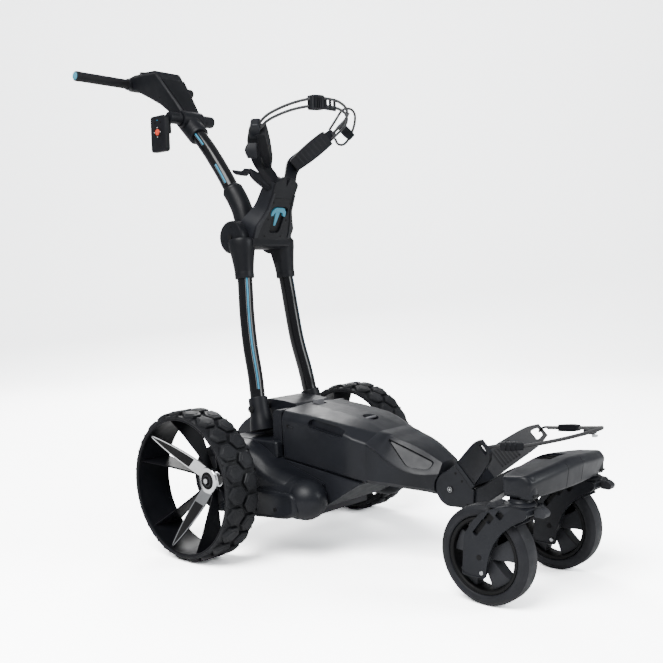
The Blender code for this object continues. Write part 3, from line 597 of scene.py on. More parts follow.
def star_arm(side, angle, grow, low, high):
    """One leaf-shaped arm: convex sides, thin rounded tip, following the cone of the star."""
    rings = []
    for k in range(17):
        f = k / 16
        radius = STAR_ROOT_R + (STAR_TIP_R - STAR_ROOT_R) * f
        level = STAR_ROOT_ALONG + (STAR_TIP_ALONG - STAR_ROOT_ALONG) * f
        half = 0.014 * (1 - f) ** 0.85 + 0.0036 * math.sin(math.pi * f) + 0.0018
        if k == 16:
            half = 0.0006
        half = max(0.0005, half - grow)
        turn = half / radius
        rings.append([wheel_at(side, level + low, radius, angle - turn),
                      wheel_at(side, level + low, radius, angle + turn),
                      wheel_at(side, level + high, radius, angle + turn),
                      wheel_at(side, level + high, radius, angle - turn)])
    return loft(rings)


def star(label, side):
    """Three-arm star: black leaves with bright edges, hub ring, cap and centre bolt."""
    body = f"rear_wheel_{label}"
    axle = Vector((side * WHEEL_X, 0, WHEEL_R))
    out = (side, 0, 0)
    angles = [math.radians(STAR_ANGLE + 120 * k) for k in range(STAR_ARMS)]
    plate = turned([(-0.0417, 0.0262), (-0.0376, 0.0262)], axle, out, 64)
    piece(f"star_{label}_edges", merge(plate, *[star_arm(side, t, 0.0, -0.0035, 0.0) for t in angles]),
          CHROME, body, [f"star_{label}"], sharp=35)
    piece(f"star_{label}_faces", merge(*[star_arm(side, t, 0.0027, -0.003, 0.0005) for t in angles]), DARK,
          body, sharp=35)
    ring = mm([(-36.6, 17.5), (-36.6, 26.2), (-35.8, 27), (-33.5, 26.8), (-32.5, 25.8), (-32, 18)])
    piece(f"hub_{label}_ring", turned(ring, axle, out, 72, hollow=True), CHROME, body, [f"hub_cap_{label}"],
          sharp=35)
    cap = mm([(-36, 17.4), (-32, 17.4), (-31.2, 16.8), (-30.8, 15.5), (-31.4, 12), (-31.6, 9)])
    piece(f"hub_{label}_cap", turned(cap, axle, out, 64), DARK, body)
    groove = mm([(-31.6, 11.8), (-30.8, 11.8), (-30.4, 11.3), (-30.4, 9.8), (-30.8, 9.4), (-31.6, 9.4)])
    piece(f"hub_{label}_washer", turned(groove, axle, out, 48, hollow=True), GREY, body)
    bolt = turned(mm([(-31.6, 6.2), (-27, 6.2), (-26.4, 5.4)]), axle, out, 6)
    piece(f"hub_{label}_bolt", bolt, STEEL, body, bevel=0.0004)
    shaft = cylinder((side * 0.1145, 0, WHEEL_R), (side * 0.213, 0, WHEEL_R), 0.006)
    piece(f"shaft_{label}", shaft, STEEL, body, [f"wheel_shaft_{label}"], bevel=0.0004)


for wheel_label, wheel_side in SIDES.items():
    rear_tyre(wheel_label, wheel_side)
    rear_rim(wheel_label, wheel_side)
    star(wheel_label, wheel_side)


# ---- chassis ------------------------------------------------------------
def dress(mat, *nodes):
    """Gives carried-over CAD nodes a material."""
    for node in nodes:
        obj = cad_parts[node]
        obj.data.materials.clear()
        obj.data.materials.append(mat)


def tray_z(y):
    """Height of the split between tray and battery."""
    if y > SEAM_Y:
        return TRAY_Z_REAR
    slope = (TRAY_Z_REAR - TRAY_Z_FRONT) / (SEAM_Y - BATTERY_FRONT_Y)
    return TRAY_Z_REAR + slope * (y - SEAM_Y)


def chassis():
    """Tray under the battery, axle barrels and motor bulges with their shoulders."""
    outline = [(0.072, tray_z(0)), (0.085, 0.15), (0.07, 0.105), (0.045, 0.085), (-0.06, 0.077),
               (-0.165, 0.083), (-0.215, 0.104), (-0.262, 0.134), (-0.3, 0.157), (-0.3, tray_z(-0.3)),
               (SEAM_Y, tray_z(SEAM_Y))]
    tray = side_prism(rounded(outline, 0.02, 5), -0.0985, 0.0985)
    piece("chassis_tray", tray, SHELL, "chassis", ["chassis_base"], bevel=0.006, segments=4)
    for label, side in SIDES.items():
        barrel = mm([(60, 60), (100, 66.8), (150, 68), (188, 68), (193.5, 66), (196, 62), (196, 52),
                     (194.5, 50.5), (194.5, 47.5)])
        piece(f"axle_barrel_{label}", turned(barrel, (0, 0, WHEEL_R), (side, 0, 0), 72), SHELL, "chassis",
              sharp=30)
        can = mm([(-45, 20), (-40, 36), (-20, 41.5), (150, 41.5), (178, 41.8), (182, 40.5), (185, 40.5),
                  (188, 41.2)])
        can += [(0.188 + 0.048 * math.sin(math.radians(a)), MOTOR_CAN_R * math.cos(math.radians(a)) + GAP)
                for a in range(12, 90, 12)]
        piece(f"motor_bulge_{label}", turned(can, (side * MOTOR_X, 0, MOTOR_Z), (0, -1, 0), 64), SHELL,
              "chassis", sharp=35)
        keys = mm([(52, 90, 150, 200, 216), (20, 90, 168, 206, 221.5), (-35, 90, 172, 205, 220),
                   (-75, 88, 168, 182, 205), (-115, 86, 165, 163, 180), (-170, 84, 160, 150, 164),
                   (-215, 82, 140, 130, 150)])
        rings = []
        for y, inner, outer, low, high in keys:
            outline = [(inner, 0.11), (outer, 0.11), (outer, low), (outer - 0.022, high), (inner, high)]
            rings.append([(side * x, y, z) for x, z in rounded(outline, 0.01, 4)])
        piece(f"side_fairing_{label}", skin(rings, 5), SHELL, "chassis", sharp=35)
        lower = mm([(40, 88), (60, 110), (60, 140), (-200, 140), (-205, 100), (-180, 88), (-60, 78)])
        x0, x1 = sorted((side * 0.09, side * 0.176))
        piece(f"pod_floor_{label}", side_prism(rounded(lower, 0.016, 5), x0, x1), SHELL, "chassis",
              bevel=0.008, segments=4)
        for k, y in enumerate((-0.02, -0.15)):
            screw(f"pod_screw_{label}_{k}", (side * 0.1765, y, 0.104), (side, 0, 0), 0.0042, "chassis", DARK)
    for k, y in enumerate((0.01, -0.05, -0.11, -0.17)):
        rib = box((-0.08, y - 0.0015, 0.0745), (0.08, y + 0.0015, 0.09))
        piece(f"tray_rib_{k}", rib, SHELL, "chassis", bevel=0.0008)
    dress(STEEL, "motor_right", "motor_left", "front_pivot_bolt")
    dress(DARK, "fold_bolt_right", "fold_bolt_left")
    dress(GREY, "gearbox_right", "gearbox_left")


def rear_housing():
    """Drum behind the battery that carries the fold bolts, with low shoulders."""
    z0 = TRAY_Z_REAR + GAP
    back = SEAM_Y + 2 * GAP
    drum = arc(0, 0.155, 0.11, 12, 78, 12)
    outline = drum + [(0.006, 0.2955), (-0.02, 0.2995), (-0.06, 0.2975), (back, 0.293), (back, z0)]
    core = side_prism(rounded(outline, 0.01, 4), -0.0515, 0.0515)
    piece("rear_housing_core", core, SHELL, "chassis", ["rear_housing"], bevel=0.005, segments=4)
    wide = [(back, z0), (0.058, z0), (0.066, 0.205), (0.05, 0.2225), (-0.01, 0.2238), (back, 0.2238)]
    piece("rear_housing_shoulders", side_prism(rounded(wide, 0.008, 4), -0.1155, 0.1155), SHELL, "chassis",
          bevel=0.006, segments=4)
    cheek = [(back, z0), (-0.0745, z0), (-0.0745, 0.278), (-0.08, 0.285), (back, 0.287)]
    piece("rear_housing_cheeks", side_prism(rounded(cheek, 0.004, 3), -0.1, 0.1), SHELL, "chassis",
          bevel=0.004, segments=3)
    for k in range(5):
        t = math.radians(24 + 10 * k)
        centre = Vector((0, 0.11 * math.cos(t), 0.155 + 0.11 * math.sin(t)))
        vent = box((-0.026, -0.0016, -0.001), (0.026, 0.0016, 0.0012))
        turn = Matrix.Translation(centre) @ Matrix.Rotation(t - math.pi / 2, 4, "X")
        bmesh.ops.transform(vent, matrix=turn, verts=vent.verts)
        piece(f"vent_louvre_{k}", vent, DARK, "chassis", bevel=0.0006)
    port = turned(mm([(0, 8.5), (3, 8.5), (3.6, 7.8), (3.6, 5.8), (1.6, 5.4)]), (0.034, 0.101, 0.196),
                  (0, 1, 0.25), 32)
    piece("service_port", port, GREY, "chassis")


def battery():
    """Removable battery: case with slanted finger slots, key marks and two catches."""
    rear, front = SEAM_Y - GAP, BATTERY_FRONT_Y + GAP
    rows = [(rear, 0.0955, 0.0995, 0.269, 0.0905, 0.283, 0.2895),
            (rear - 0.0025, 0.0978, 0.1018, 0.2715, 0.093, 0.2855, 0.2922),
            (-0.17, 0.0962, 0.1002, 0.2655, 0.0895, 0.2795, 0.2855),
            (-0.235, 0.0945, 0.0985, 0.2565, 0.085, 0.2705, 0.2765),
            (-0.262, 0.094, 0.0975, 0.2505, 0.0775, 0.2645, 0.2705),
            (-0.284, 0.0935, 0.0955, 0.2435, 0.0665, 0.259, 0.2635),
            (front + 0.002, 0.0895, 0.0865, 0.2365, 0.052, 0.2512, 0.2545),
            (front, 0.088, 0.085, 0.235, 0.05, 0.25, 0.2532)]
    rings = []
    for y, low_w, side_w, side_z, top_w, top_z, crown in rows:
        half = [(low_w, tray_z(y) + 0.0006), (side_w, side_z), (top_w, top_z), (0.03, crown)]
        rings.append([(x, y, z) for x, z in rounded(both_sides(half), 0.0055, 4)])
    cuts = []
    for side in SIDES.values():
        a, b = Vector((side * 0.108, -0.181, 0.265)), Vector((side * 0.108, -0.254, 0.253))
        along, x = (b - a).normalized(), Vector((-side, 0, 0))
        up = x.cross(along)
        ring = [a + up * 0.0085 * math.sin(t) - along * 0.0085 * math.cos(t)
                for t in [math.radians(v) for v in range(-90, 91, 15)]]
        ring += [b + up * 0.0085 * math.sin(t) + along * 0.0085 * math.cos(t)
                 for t in [math.radians(v) for v in range(90, -91, -15)]]
        cuts.append(loft([ring, [p + x * 0.0195 for p in ring]]))
    cuts.append(box((-0.0125, -0.128, 0.28), (0.0125, -0.095, 0.3)))
    cuts.append(loft([[(0.018 * math.cos(t) * f, -0.254 + 0.016 * math.sin(t) * f, z)
                       for t in [2 * math.pi * k / 32 for k in range(32)]]
                      for z, f in ((0.259, 0.86), (0.29, 1.12))]))
    piece("battery_shell", loft(rings), SHELL, "battery", ["battery_case", "battery_lid"], bevel=0.0013,
          segments=3, cuts=cuts, sharp=32)
    for label, side in SIDES.items():
        mark = [(side * 0.10195, -0.118, 0.256), (side * 0.1014, -0.132, 0.2532)]
        piece(f"battery_key_mark_{label}", sweep(smooth(mark, 4), circle(0.0007, 8)), GREY, "battery")
        edge = turned(mm([(-0.6, 3), (0.5, 3), (0.7, 2.2)]), mark[0], (side, 0, 0.1), 20)
        piece(f"battery_key_hole_{label}", edge, DARK, "battery")
    slide = box((-0.0108, -0.1188, 0.2806), (0.0108, -0.1062, 0.2985))
    grooves = [box((-0.009, -0.1165 + 0.003 * k, 0.2978), (0.009, -0.1153 + 0.003 * k, 0.3))
               for k in range(3)]
    piece("battery_slide_catch", slide, CATCH, "battery_slide_catch", ["battery_catch_rear"], bevel=0.0016,
          segments=3, cuts=grooves)
    bail = mm([(12.5, -240, 264), (12.4, -248, 268), (9.5, -257, 271.5), (0, -260, 272.5),
               (-9.5, -257, 271.5), (-12.4, -248, 268), (-12.5, -240, 264)])
    piece("battery_bail_wire", sweep(smooth(bail, 6), circle(0.0026, 14)), CATCH, "battery_bail",
          ["battery_catch_front"])
    dress(CELLS, "battery_cells")


def nose():
    """Tapering front beam: S-shaped ridge, sunk pocket on each side and the pivot tongue."""
    rows = [(BATTERY_FRONT_Y - GAP, 0.09, 0.16, 0.0868, 0.2358, 0.048, 0.2532),
            (-0.33, 0.084, 0.158, 0.0838, 0.225, 0.0455, 0.2495),
            (-0.35, 0.0745, 0.156, 0.0765, 0.208, 0.0425, 0.2435),
            (-0.375, 0.063, 0.153, 0.0665, 0.192, 0.0385, 0.237),
            (-0.4, 0.052, 0.15, 0.0555, 0.1835, 0.0335, 0.2275),
            (-0.42, 0.0435, 0.1475, 0.0465, 0.182, 0.029, 0.217),
            (-0.4425, 0.0375, 0.144, 0.0388, 0.184, 0.0245, 0.204)]
    keys = []
    for y, low_w, low_z, side_w, side_z, top_w, top_z in rows:
        half = [(low_w - 0.008, low_z), (low_w, low_z + 0.008), (side_w - 0.0008, side_z - 0.003),
                (side_w + 0.001, side_z), (side_w - 0.0022, side_z + 0.0028), (top_w, top_z),
                (top_w - 0.012, top_z + 0.0012)]
        keys.append([(x, y, z) for x, z in both_sides(half)])
    cuts = []
    for side in SIDES.values():
        corners = []
        for y, t in ((-0.332, 0.86), (-0.431, 0.8), (-0.424, 0.26), (-0.384, 0.14)):
            after = next(k for k in range(1, len(rows)) if rows[k][0] <= y)
            near, far = rows[after - 1], rows[after]
            f = (y - near[0]) / (far[0] - near[0])
            side_w, side_z, top_w, top_z = [near[k] + (far[k] - near[k]) * f for k in (3, 4, 5, 6)]
            corners.append(Vector((side * (side_w + (top_w - side_w) * t), y, side_z + (top_z - side_z) * t)))
        across = (corners[1] - corners[3]).cross(corners[2] - corners[0]).normalized()
        across = across if across.z > 0 else -across
        middle = sum(corners, Vector()) / 4
        flat = [p - across * across.dot(p - middle) for p in corners]
        centre = sum(flat, Vector()) / 4
        u = (flat[1] - flat[0]).normalized()
        v = across.cross(u)
        shape = rounded([((p - centre).dot(u), (p - centre).dot(v)) for p in flat], 0.01, 6)
        levels = [(0.86, -0.005), (0.9, -0.0048), (0.99, 0.0), (1.04, 0.006), (1.06, 0.03)]
        cuts.append(loft([[centre + u * a * grow + v * b * grow + across * level for a, b in shape]
                          for grow, level in levels]))
        cuts.append(cylinder((side * 0.0286, *ARM.yz), (side * 0.06, *ARM.yz), 0.0342, 64))
    cuts.append(box((-0.03, -0.395, 0.1), (0.03, -0.325, 0.19)))
    piece("nose_shell", skin(keys, 6), SHELL, "chassis", ["nose_body"], bevel=0.0012, segments=3, cuts=cuts,
          sharp=30)
    tongue = [(-0.43, ARM.z + 0.0265)] + arc(ARM.y, ARM.z, 0.0265, 90, 270, 20) + [(-0.43, ARM.z - 0.015)]
    piece("nose_tongue", side_prism(tongue, -0.0283, 0.0283), PLASTIC, "chassis", bevel=0.0012, segments=2)


chassis()
rear_housing()
battery()
nose()


# ---- front arm and casters ----------------------------------------------
def front_arm():
    """Two cheek plates with screws and the arched neck that carries the cross beam."""
    for label, side in SIDES.items():
        cheek = [(-0.4775, 0.2055)] + arc(ARM.y, ARM.z, 0.033, 70, -80, 16)
        cheek += mm([(-490, 128.5), (-516.5, 127), (-519, 164)])
        x0, x1 = sorted((side * 0.0295, side * 0.037))
        plate = side_prism(cheek, x0, x1)
        piece(f"arm_cheek_{label}", plate, SHELL, "front_arm_assembly", ["front_arm"] if side < 0 else [],
              bevel=0.0016, segments=3)
        screw(f"arm_bolt_{label}", (side * 0.0372, *ARM.yz), (side, 0, 0), 0.0058, "front_arm_assembly", DARK,
              0.0024)
        screw(f"arm_bolt_core_{label}", (side * 0.039, *ARM.yz), (side, 0, 0), 0.0026, "front_arm_assembly",
              STEEL, 0.0008)
        for k, (y, z) in enumerate(mm(((-480, 191), (-493.5, 178), (-505, 136)))):
            screw(f"arm_screw_{label}_{k}", (side * 0.037, y, z), (side, 0, 0), 0.0024, "front_arm_assembly",
                  DARK, 0.0006)
    neck = mm([((0, -504, 147.5), 31.8, 16.5), ((0, -518, 148), 31.8, 18), ((0, -545, 164), 31.6, 15),
               ((0, -580, 188), 31.6, 15), ((0, -610, 202), 31.6, 16), ((0, -640, 207), 31.6, 16.5)])
    piece("arm_neck", beam(neck, (1, 0, 0), (0, 0.45, 0.9), 6), SHELL, "front_arm_assembly", bevel=0.004,
          segments=3)
    for k in range(3):
        x = -0.018 + 0.018 * k
        rib = [((x, -0.56, 0.1895), 0.001, 0.0016), ((x, -0.585, 0.2068), 0.0012, 0.0018),
               ((x, -0.615, 0.2195), 0.001, 0.0014)]
        piece(f"arm_neck_rib_{k}", beam(rib, (1, 0, 0), (0, 0.5, 0.86), 4), SHELL, "front_arm_assembly",
              bevel=0.0006)


def bumper():
    """Cross beam over the casters: split seams, rounded end posts and a recess in its top."""
    rows = mm([(138.5, -669, -653, 202, 218), (137, -680, -643, 195, 224.5), (133, -689, -637, 190.5, 227.8),
               (118, -693, -635, 189.5, 230), (70, -699.5, -632.5, 189.2, 234.8),
               (0, -703.5, -630.5, 189.2, 239.8)])

    def ring(x, y0, y1, z0, z1):
        lean = 0.006
        outline = [(y0 + lean, z0), (y1 - lean * 0.4, z0), (y1, z1 - 0.004), (y0 + 0.01, z1),
                   (y0, z1 - 0.012)]
        return [(x, y, z) for y, z in rounded(outline, 0.0055, 4)]
    stations = [ring(-r[0], *r[1:]) for r in rows] + [ring(*r) for r in reversed(rows[:-1])]
    cuts = [box((-0.03, -0.668, 0.226), (0.03, -0.636, 0.3))]
    for x in (-0.03, 0.022):
        cuts.append(box((x - 0.0006, -0.72, 0.18), (x + 0.0006, -0.696, 0.26)))
    piece("bumper_shell", skin(stations, 3), SHELL, "front_arm_assembly", ["caster_beam"], bevel=0.001,
          segments=2, cuts=cuts, sharp=32)
    for k in range(4):
        x = -0.0225 + 0.015 * k
        rib = box((x - 0.0012, -0.666, 0.224), (x + 0.0012, -0.638, 0.232))
        piece(f"bumper_rib_{k}", rib, DARK, "front_arm_assembly", bevel=0.0005)
    for label, side in SIDES.items():
        post = mm([(0, 15), (3, 16.5), (30, 16), (35.5, 13), (36.8, 8.5)])
        piece(f"bumper_post_{label}", turned(post, (side * 0.12, -0.6745, 0.19), (0, 0, 1), 40), SHELL,
              "front_arm_assembly", sharp=35)
        # Painted shade: a thin deep-black bar on the post's front stands for a slot; nothing is cut here.
        slot_cut = box((side * 0.12 - 0.008, -0.692, 0.1935), (side * 0.12 + 0.008, -0.6895, 0.1965))
        piece(f"bumper_slot_painted_shade_{label}", slot_cut, DARK, "front_arm_assembly", bevel=0.0006)


def caster(label, side):
    """Swivelling fork with window slots, smooth tyre, spoked rim and the lock lever."""
    x = side * CASTER_X
    body = f"swivel_{label}"
    for name, sign in (("outer", 1), ("inner", -1)):
        leg = mm([(-689.5, 165), (-688, 176), (-664, 178.5), (-638, 175), (-606, 162), (-586, 144),
                  (-570, 118), (-565.5, 56), (-570, 50), (-606, 51), (-611, 56), (-616, 86), (-627, 112),
                  (-643, 133), (-662, 148), (-680, 158)])
        x0, x1 = sorted((x + side * sign * 0.024, x + side * sign * 0.0298))
        cuts = []
        for y, z, length, wide in mm(((-601, 136, 17, 4.8), (-619, 154, 8.5, 7), (-640, 162, 7, 6.2))):
            lean = Vector((0, 0.62, -0.78))
            across = Vector((0, 0.78, 0.62))
            centre = Vector((x, y, z))
            outline = rounded([(-length, -wide), (length, -wide), (length, wide), (-length, wide)], 0.003)
            ring = [centre + lean * a + across * b for a, b in outline]
            cuts.append(loft([[p + Vector((-0.05, 0, 0)) for p in ring],
                              [p + Vector((0.05, 0, 0)) for p in ring]]))
        piece(f"fork_{label}_{name}_leg", side_prism(rounded(leg, 0.006, 3), x0, x1), SHELL, body,
              bevel=0.0016, segments=3, cuts=cuts)
        lip = [(x + side * sign * 0.03, y, z) for y, z in mm(((-612, 56), (-607, 52.5), (-589, 51.8),
                                                              (-570, 52.5), (-567.2, 57)))]
        piece(f"fork_{label}_{name}_lip", sweep(smooth(lip, 5), circle(0.0014, 10)), SHELL, body)
        nut = turned(mm([(0, 4), (2, 4), (2.6, 3.2)]), (x + side * sign * 0.0298, -0.604, 0.06),
                     (side * sign, 0, 0), 6)
        piece(f"caster_nut_{label}_{name}", nut, STEEL, body, bevel=0.0004)
        # Painted shade: a deep-black sheet just inside the leg, shaped to cover only the window slots, so
        # they look dark as if shaded instead of showing what lies behind them.
        window_painted_shade = mm([(-656, 156), (-648, 172), (-612, 160), (-590, 140), (-586, 116), (-608, 116),
                    (-628, 136)])
        x0, x1 = sorted((x + side * sign * 0.0226, x + side * sign * 0.0238))
        piece(f"fork_{label}_{name}_liner", side_prism(window_painted_shade, x0, x1), DARK, body)
    crown = [((x, -0.6895, 0.17), 0.027, 0.006), ((x, -0.67, 0.1725), 0.0285, 0.0065),
             ((x, -0.65, 0.1725), 0.0285, 0.006), ((x, -0.63, 0.168), 0.0265, 0.0045)]
    piece(f"fork_{label}_crown", beam(crown, (1, 0, 0), (0, 0.12, 0.99), 4), SHELL, body,
          [f"caster_fork_{label}"], bevel=0.003, segments=3)
    cap = mm([(-4, 25), (0, 26.2), (6, 25.8), (8.5, 23.5), (9.5, 20), (11.5, 18.5), (14.5, 18)])
    piece(f"swivel_{label}_cap", turned(cap, (x, SWIVEL_Y, 0.174), (0, 0, 1), 56), SHELL, body, sharp=35)
    ring = mm([(0, 26.2), (1, 27), (2, 26.2)])
    piece(f"swivel_{label}_ring", turned(ring, (x, SWIVEL_Y, 0.1775), (0, 0, 1), 56), GREY, body, sharp=60)
    guard = []
    for radius in (0.0885, 0.0915):
        guard.append([(CASTER_Y + radius * math.cos(math.radians(a)),
                       CASTER_R + radius * math.sin(math.radians(a))) for a in range(98, 139, 5)])
    piece(f"fork_{label}_guard", side_prism(guard[0] + guard[1][::-1], x - 0.0245, x + 0.0245), SHELL, body,
          bevel=0.001)
    axle_rod = cylinder((x - 0.0305, CASTER_Y, CASTER_R), (x + 0.0305, CASTER_Y, CASTER_R), 0.0048)
    piece(f"caster_axle_{label}", axle_rod, DARK, body, bevel=0.0006)

    wheel = f"caster_wheel_{label}"
    axle = (x, CASTER_Y, CASTER_R)
    out = (side, 0, 0)
    tread = mm([(-17.5, 66), (-20, 68), (-20.8, 71.5), (-20.5, 75.2), (-19.7, 78.5), (-19, 79), (-18.4, 79.8),
                (-17, 82), (-15.2, 83.6), (-14.6, 83.2), (-14, 84.3), (-9, 84.9), (0, 85)])
    ring = tread + [(-a, r) for a, r in reversed(tread[:-1])]
    piece(f"caster_{label}_tyre", turned(ring, axle, out, 112, hollow=True), SMOOTH_RUBBER, wheel,
          [f"caster_tyre_{label}"], sharp=50)
    barrel = mm([(-17.2, 65.5), (-18, 64.8), (-17.8, 60.5), (-16.5, 59), (-8, 57), (8, 57), (16.5, 59),
                 (17.8, 60.5), (18, 64.8), (17.2, 65.5)])
    piece(f"caster_{label}_barrel", turned(barrel, axle, out, 96, hollow=True), DARK, wheel,
          [f"caster_rim_{label}"], sharp=35)
    spokes = []
    for k in range(SPOKE_COUNT):
        t = math.radians(72 * k + 20)
        radial, across = Vector((0, math.cos(t), math.sin(t))), Vector((0, -math.sin(t), math.cos(t)))
        keys = mm([(12, 8.5, 14), (24, 12, 13), (42, 15.8, 12), (57.5, 21.5, 10)])
        stations = [(Vector(axle) + radial * r, w, h) for r, w, h in keys]
        spokes.append(beam(stations, across, (1, 0, 0), 4))
    piece(f"caster_{label}_spokes", merge(*spokes), GREY, wheel, bevel=0.0018, segments=2)
    hub = mm([(-18, 9), (-18.5, 11), (-16.5, 14.5), (-10, 16.5), (10, 16.5), (16.5, 14.5), (18.5, 11),
              (18, 9)])
    piece(f"caster_{label}_hub", turned(hub, axle, out, 48), GREY, wheel, sharp=35)

    outline = mm([(-690.8, 162.5), (-690.8, 173.5), (-699, 178.2), (-706, 175.5), (-711.5, 170),
                  (-708.5, 162)])
    piece(f"lock_{label}_lever", side_prism(rounded(outline, 0.0025, 3), x - 0.0088, x + 0.0088), GREY,
          f"caster_lock_{label}", [f"lock_lever_{label}"], bevel=0.0012, segments=2,
          cuts=[box((x - 0.003, -0.703, 0.176), (x + 0.003, -0.696, 0.18))])


WING = mm([((34, -501.5, 193.5), 26), ((60, -538, 224), 24), ((84, -569, 249), 21), ((98, -585, 262), 13)])
WING_WIDTH = Vector((0, -0.694, -0.72))
WING_OUT = Vector((0.057, -0.085, 0.075)).normalized().cross(WING_WIDTH).normalized()


def cradle():
    """V-shaped bag cradle: web, two wings with strap holes, ribbed pads on their inner faces."""
    web = mm([(-478.5, 209), (-516.5, 168.2), (-522.5, 173.8), (-484, 214.2)])
    piece("cradle_web", side_prism(rounded(web, 0.002, 3), -0.04, 0.04), SHELL, "front_arm_assembly",
          ["lower_cradle"], bevel=0.0012)
    for label, side in SIDES.items():
        width, thick = mirror_x(WING_WIDTH, side), mirror_x(WING_OUT, side)
        centre = mirror_x((0.0905, -0.577, 0.2555), side)
        along = mirror_x((0.057, -0.085, 0.075), side).normalized()
        across = width.normalized()
        hole = mm([(-8, -11), (6, -9), (6, 9), (-8, 11)])
        ring = [centre + along * a + across * b for a, b in rounded(hole, 0.004, 4)]
        cut = loft([[p - thick * 0.02 for p in ring], [p + thick * 0.02 for p in ring]])
        wing = beam([(mirror_x(c, side), hw, 0.0032) for c, hw in WING], width, thick, 6)
        piece(f"cradle_wing_{label}", wing, SHELL, "front_arm_assembly", bevel=0.0015, segments=3, cuts=[cut])
        face = -thick if thick.z < 0 else thick
        ribs = []
        for k in range(7):
            at = mirror_x((0.046, -0.5185, 0.2075), side) + along * (0.0062 * k) + face * 0.0036
            ribs.append(beam([(at - along * 0.0017, 0.0175, 0.0011), (at + along * 0.0017, 0.0175, 0.0011)],
                             across, face))
        piece(f"cradle_pad_{label}", merge(*ribs), PAD, "front_arm_assembly",
              bevel=0.0006)
        for k, (a, b) in enumerate(((0.004, 0.018), (0.004, -0.018))):
            at = mirror_x((0.038, -0.5075, 0.1985), side) + along * a + across * b - face * 0.003
            screw(f"cradle_screw_{label}_{k}", at, -face, 0.0022, "front_arm_assembly", DARK, 0.0006)


def lower_strap():
    """Elastic strap for the bag's foot: cord with its block, ferrule, hook, buckle and pale tab."""
    loop = mm([(-89.5, -579, 256), (-85, -588, 259), (-78, -600, 260), (-60, -635, 261), (-30, -685, 272),
               (-10, -730, 286), (6, -744, 292), (24, -725, 288), (52, -668, 279), (78, -606, 270)])
    body = "front_arm_assembly"
    piece("foot_strap_cord", sweep(smooth(loop, 8), circle(0.0033, 14)), CORD, body, ["lower_strap"])
    lean = Vector((0.46, -0.88, 0.02)).normalized()
    block = beam([(loop[2], 0.007, 0.0048), ((-0.07, -0.616, 0.2602), 0.0078, 0.0056),
                  (loop[3], 0.006, 0.0046)], (0, 0, 1), (0.87, 0.5, 0), 3)
    piece("foot_strap_block", block, PLASTIC, body, bevel=0.0016, segments=3)
    for k in range(3):
        at = Vector((-0.074, -0.608, 0.2601)) + lean * 0.008 * k
        rib = turned(mm([(-1.2, 8.2), (0, 8.8), (1.2, 8.2)]), at, lean, 20)
        piece(f"foot_strap_rib_{k}", rib, PLASTIC, body, bevel=0.0004)
    ferrule = beam([((0.042, -0.685, 0.2818), 0.0052, 0.004), (loop[8], 0.0066, 0.0052),
                    ((0.066, -0.636, 0.2742), 0.0062, 0.0048)], (0, 0, 1), (-0.87, 0.5, 0), 3)
    piece("foot_strap_ferrule", ferrule, PLASTIC, body, bevel=0.0014, segments=3)
    hook = mm([(70, -630, 273.5), (79, -612, 271.5), (86, -596, 269), (92, -586, 265), (93.5, -579, 258)])
    piece("foot_strap_hook", sweep(smooth(hook, 6), circle(0.0022, 12)), DARK, body)
    buckle = box((0.004, -0.729, 0.279), (0.021, -0.711, 0.287))
    piece("foot_strap_buckle", buckle, PLASTIC, body, bevel=0.002, segments=3)
    tab = box((0.007, -0.7325, 0.2745), (0.017, -0.725, 0.2785))
    piece("foot_strap_tab", tab, WHITE, body, bevel=0.001)


front_arm()
bumper()
for caster_label, caster_side in SIDES.items():
    caster(caster_label, caster_side)
cradle()
lower_strap()


# ---- lower frame and knee ------------------------------------------------
TUBE_ROUTE = mm([(83.4, -22.8, 262), (80.5, -12.5, 303.5), (77, -3, 350), (72.5, 14, 414), (69, 24.5, 478),
                 (65, 30.5, 530), (62.8, 34, 558), (60.5, 38, 597)])
HANDLE_ROUTE = mm([(0, 90, 672), (0, 100, 704), (0, 116, 734), (0, 135, 760), (0, 155, 789), (0, 177, 818),
                   (0, 201, 848), (0, 228, 878), (0, 255, 904)])
PLATE_POINT = Vector((0, 0.01, 0.642))
PLATE_UP = Vector((0, -0.415, 0.91)).normalized()
PLATE_FRONT = Vector((0, -0.91, -0.415)).normalized()
PAD_ROOT = Vector((0.036, -0.026, 0.796))
PAD_TIP = Vector((0.108, -0.074, 0.864))
PAD_FACE = Vector((-0.57, -0.82, 0)).normalized()


def along_route(route, first, last, steps=10):
    """Part of a smoothed route between two fractions of its point count."""
    points = smooth(route, steps)
    return points[int(first * (len(points) - 1)):int(last * (len(points) - 1)) + 1]


def stripe(name, path, radius, angle, width, mat, body):
    """A thin painted band that follows a tube at a given angle round it."""
    points = [Vector(p) for p in path]
    rows = []
    for k, point in enumerate(points):
        ahead = (points[min(k + 1, len(points) - 1)] - points[max(k - 1, 0)]).normalized()
        side = Vector((1, 0, 0)) - ahead * ahead.x
        side.normalize()
        front = ahead.cross(side)
        row = []
        for j in range(5):
            t = math.radians(angle) + (j / 4 - 0.5) * width / radius
            row.append(point + (side * math.cos(t) + front * math.sin(t)) * (radius + 0.00012))
        rows.append(row)
    bm = bmesh.new()
    grid = [[bm.verts.new(p) for p in row] for row in rows]
    for low, high in zip(grid, grid[1:]):
        for j in range(4):
            bm.faces.new((low[j], low[j + 1], high[j + 1], high[j]))
    return piece(name, bm, mat, body)


def hollow_tube(route, radius):
    """An open tube swept along a route."""
    return sweep(route, circle(radius, 40))


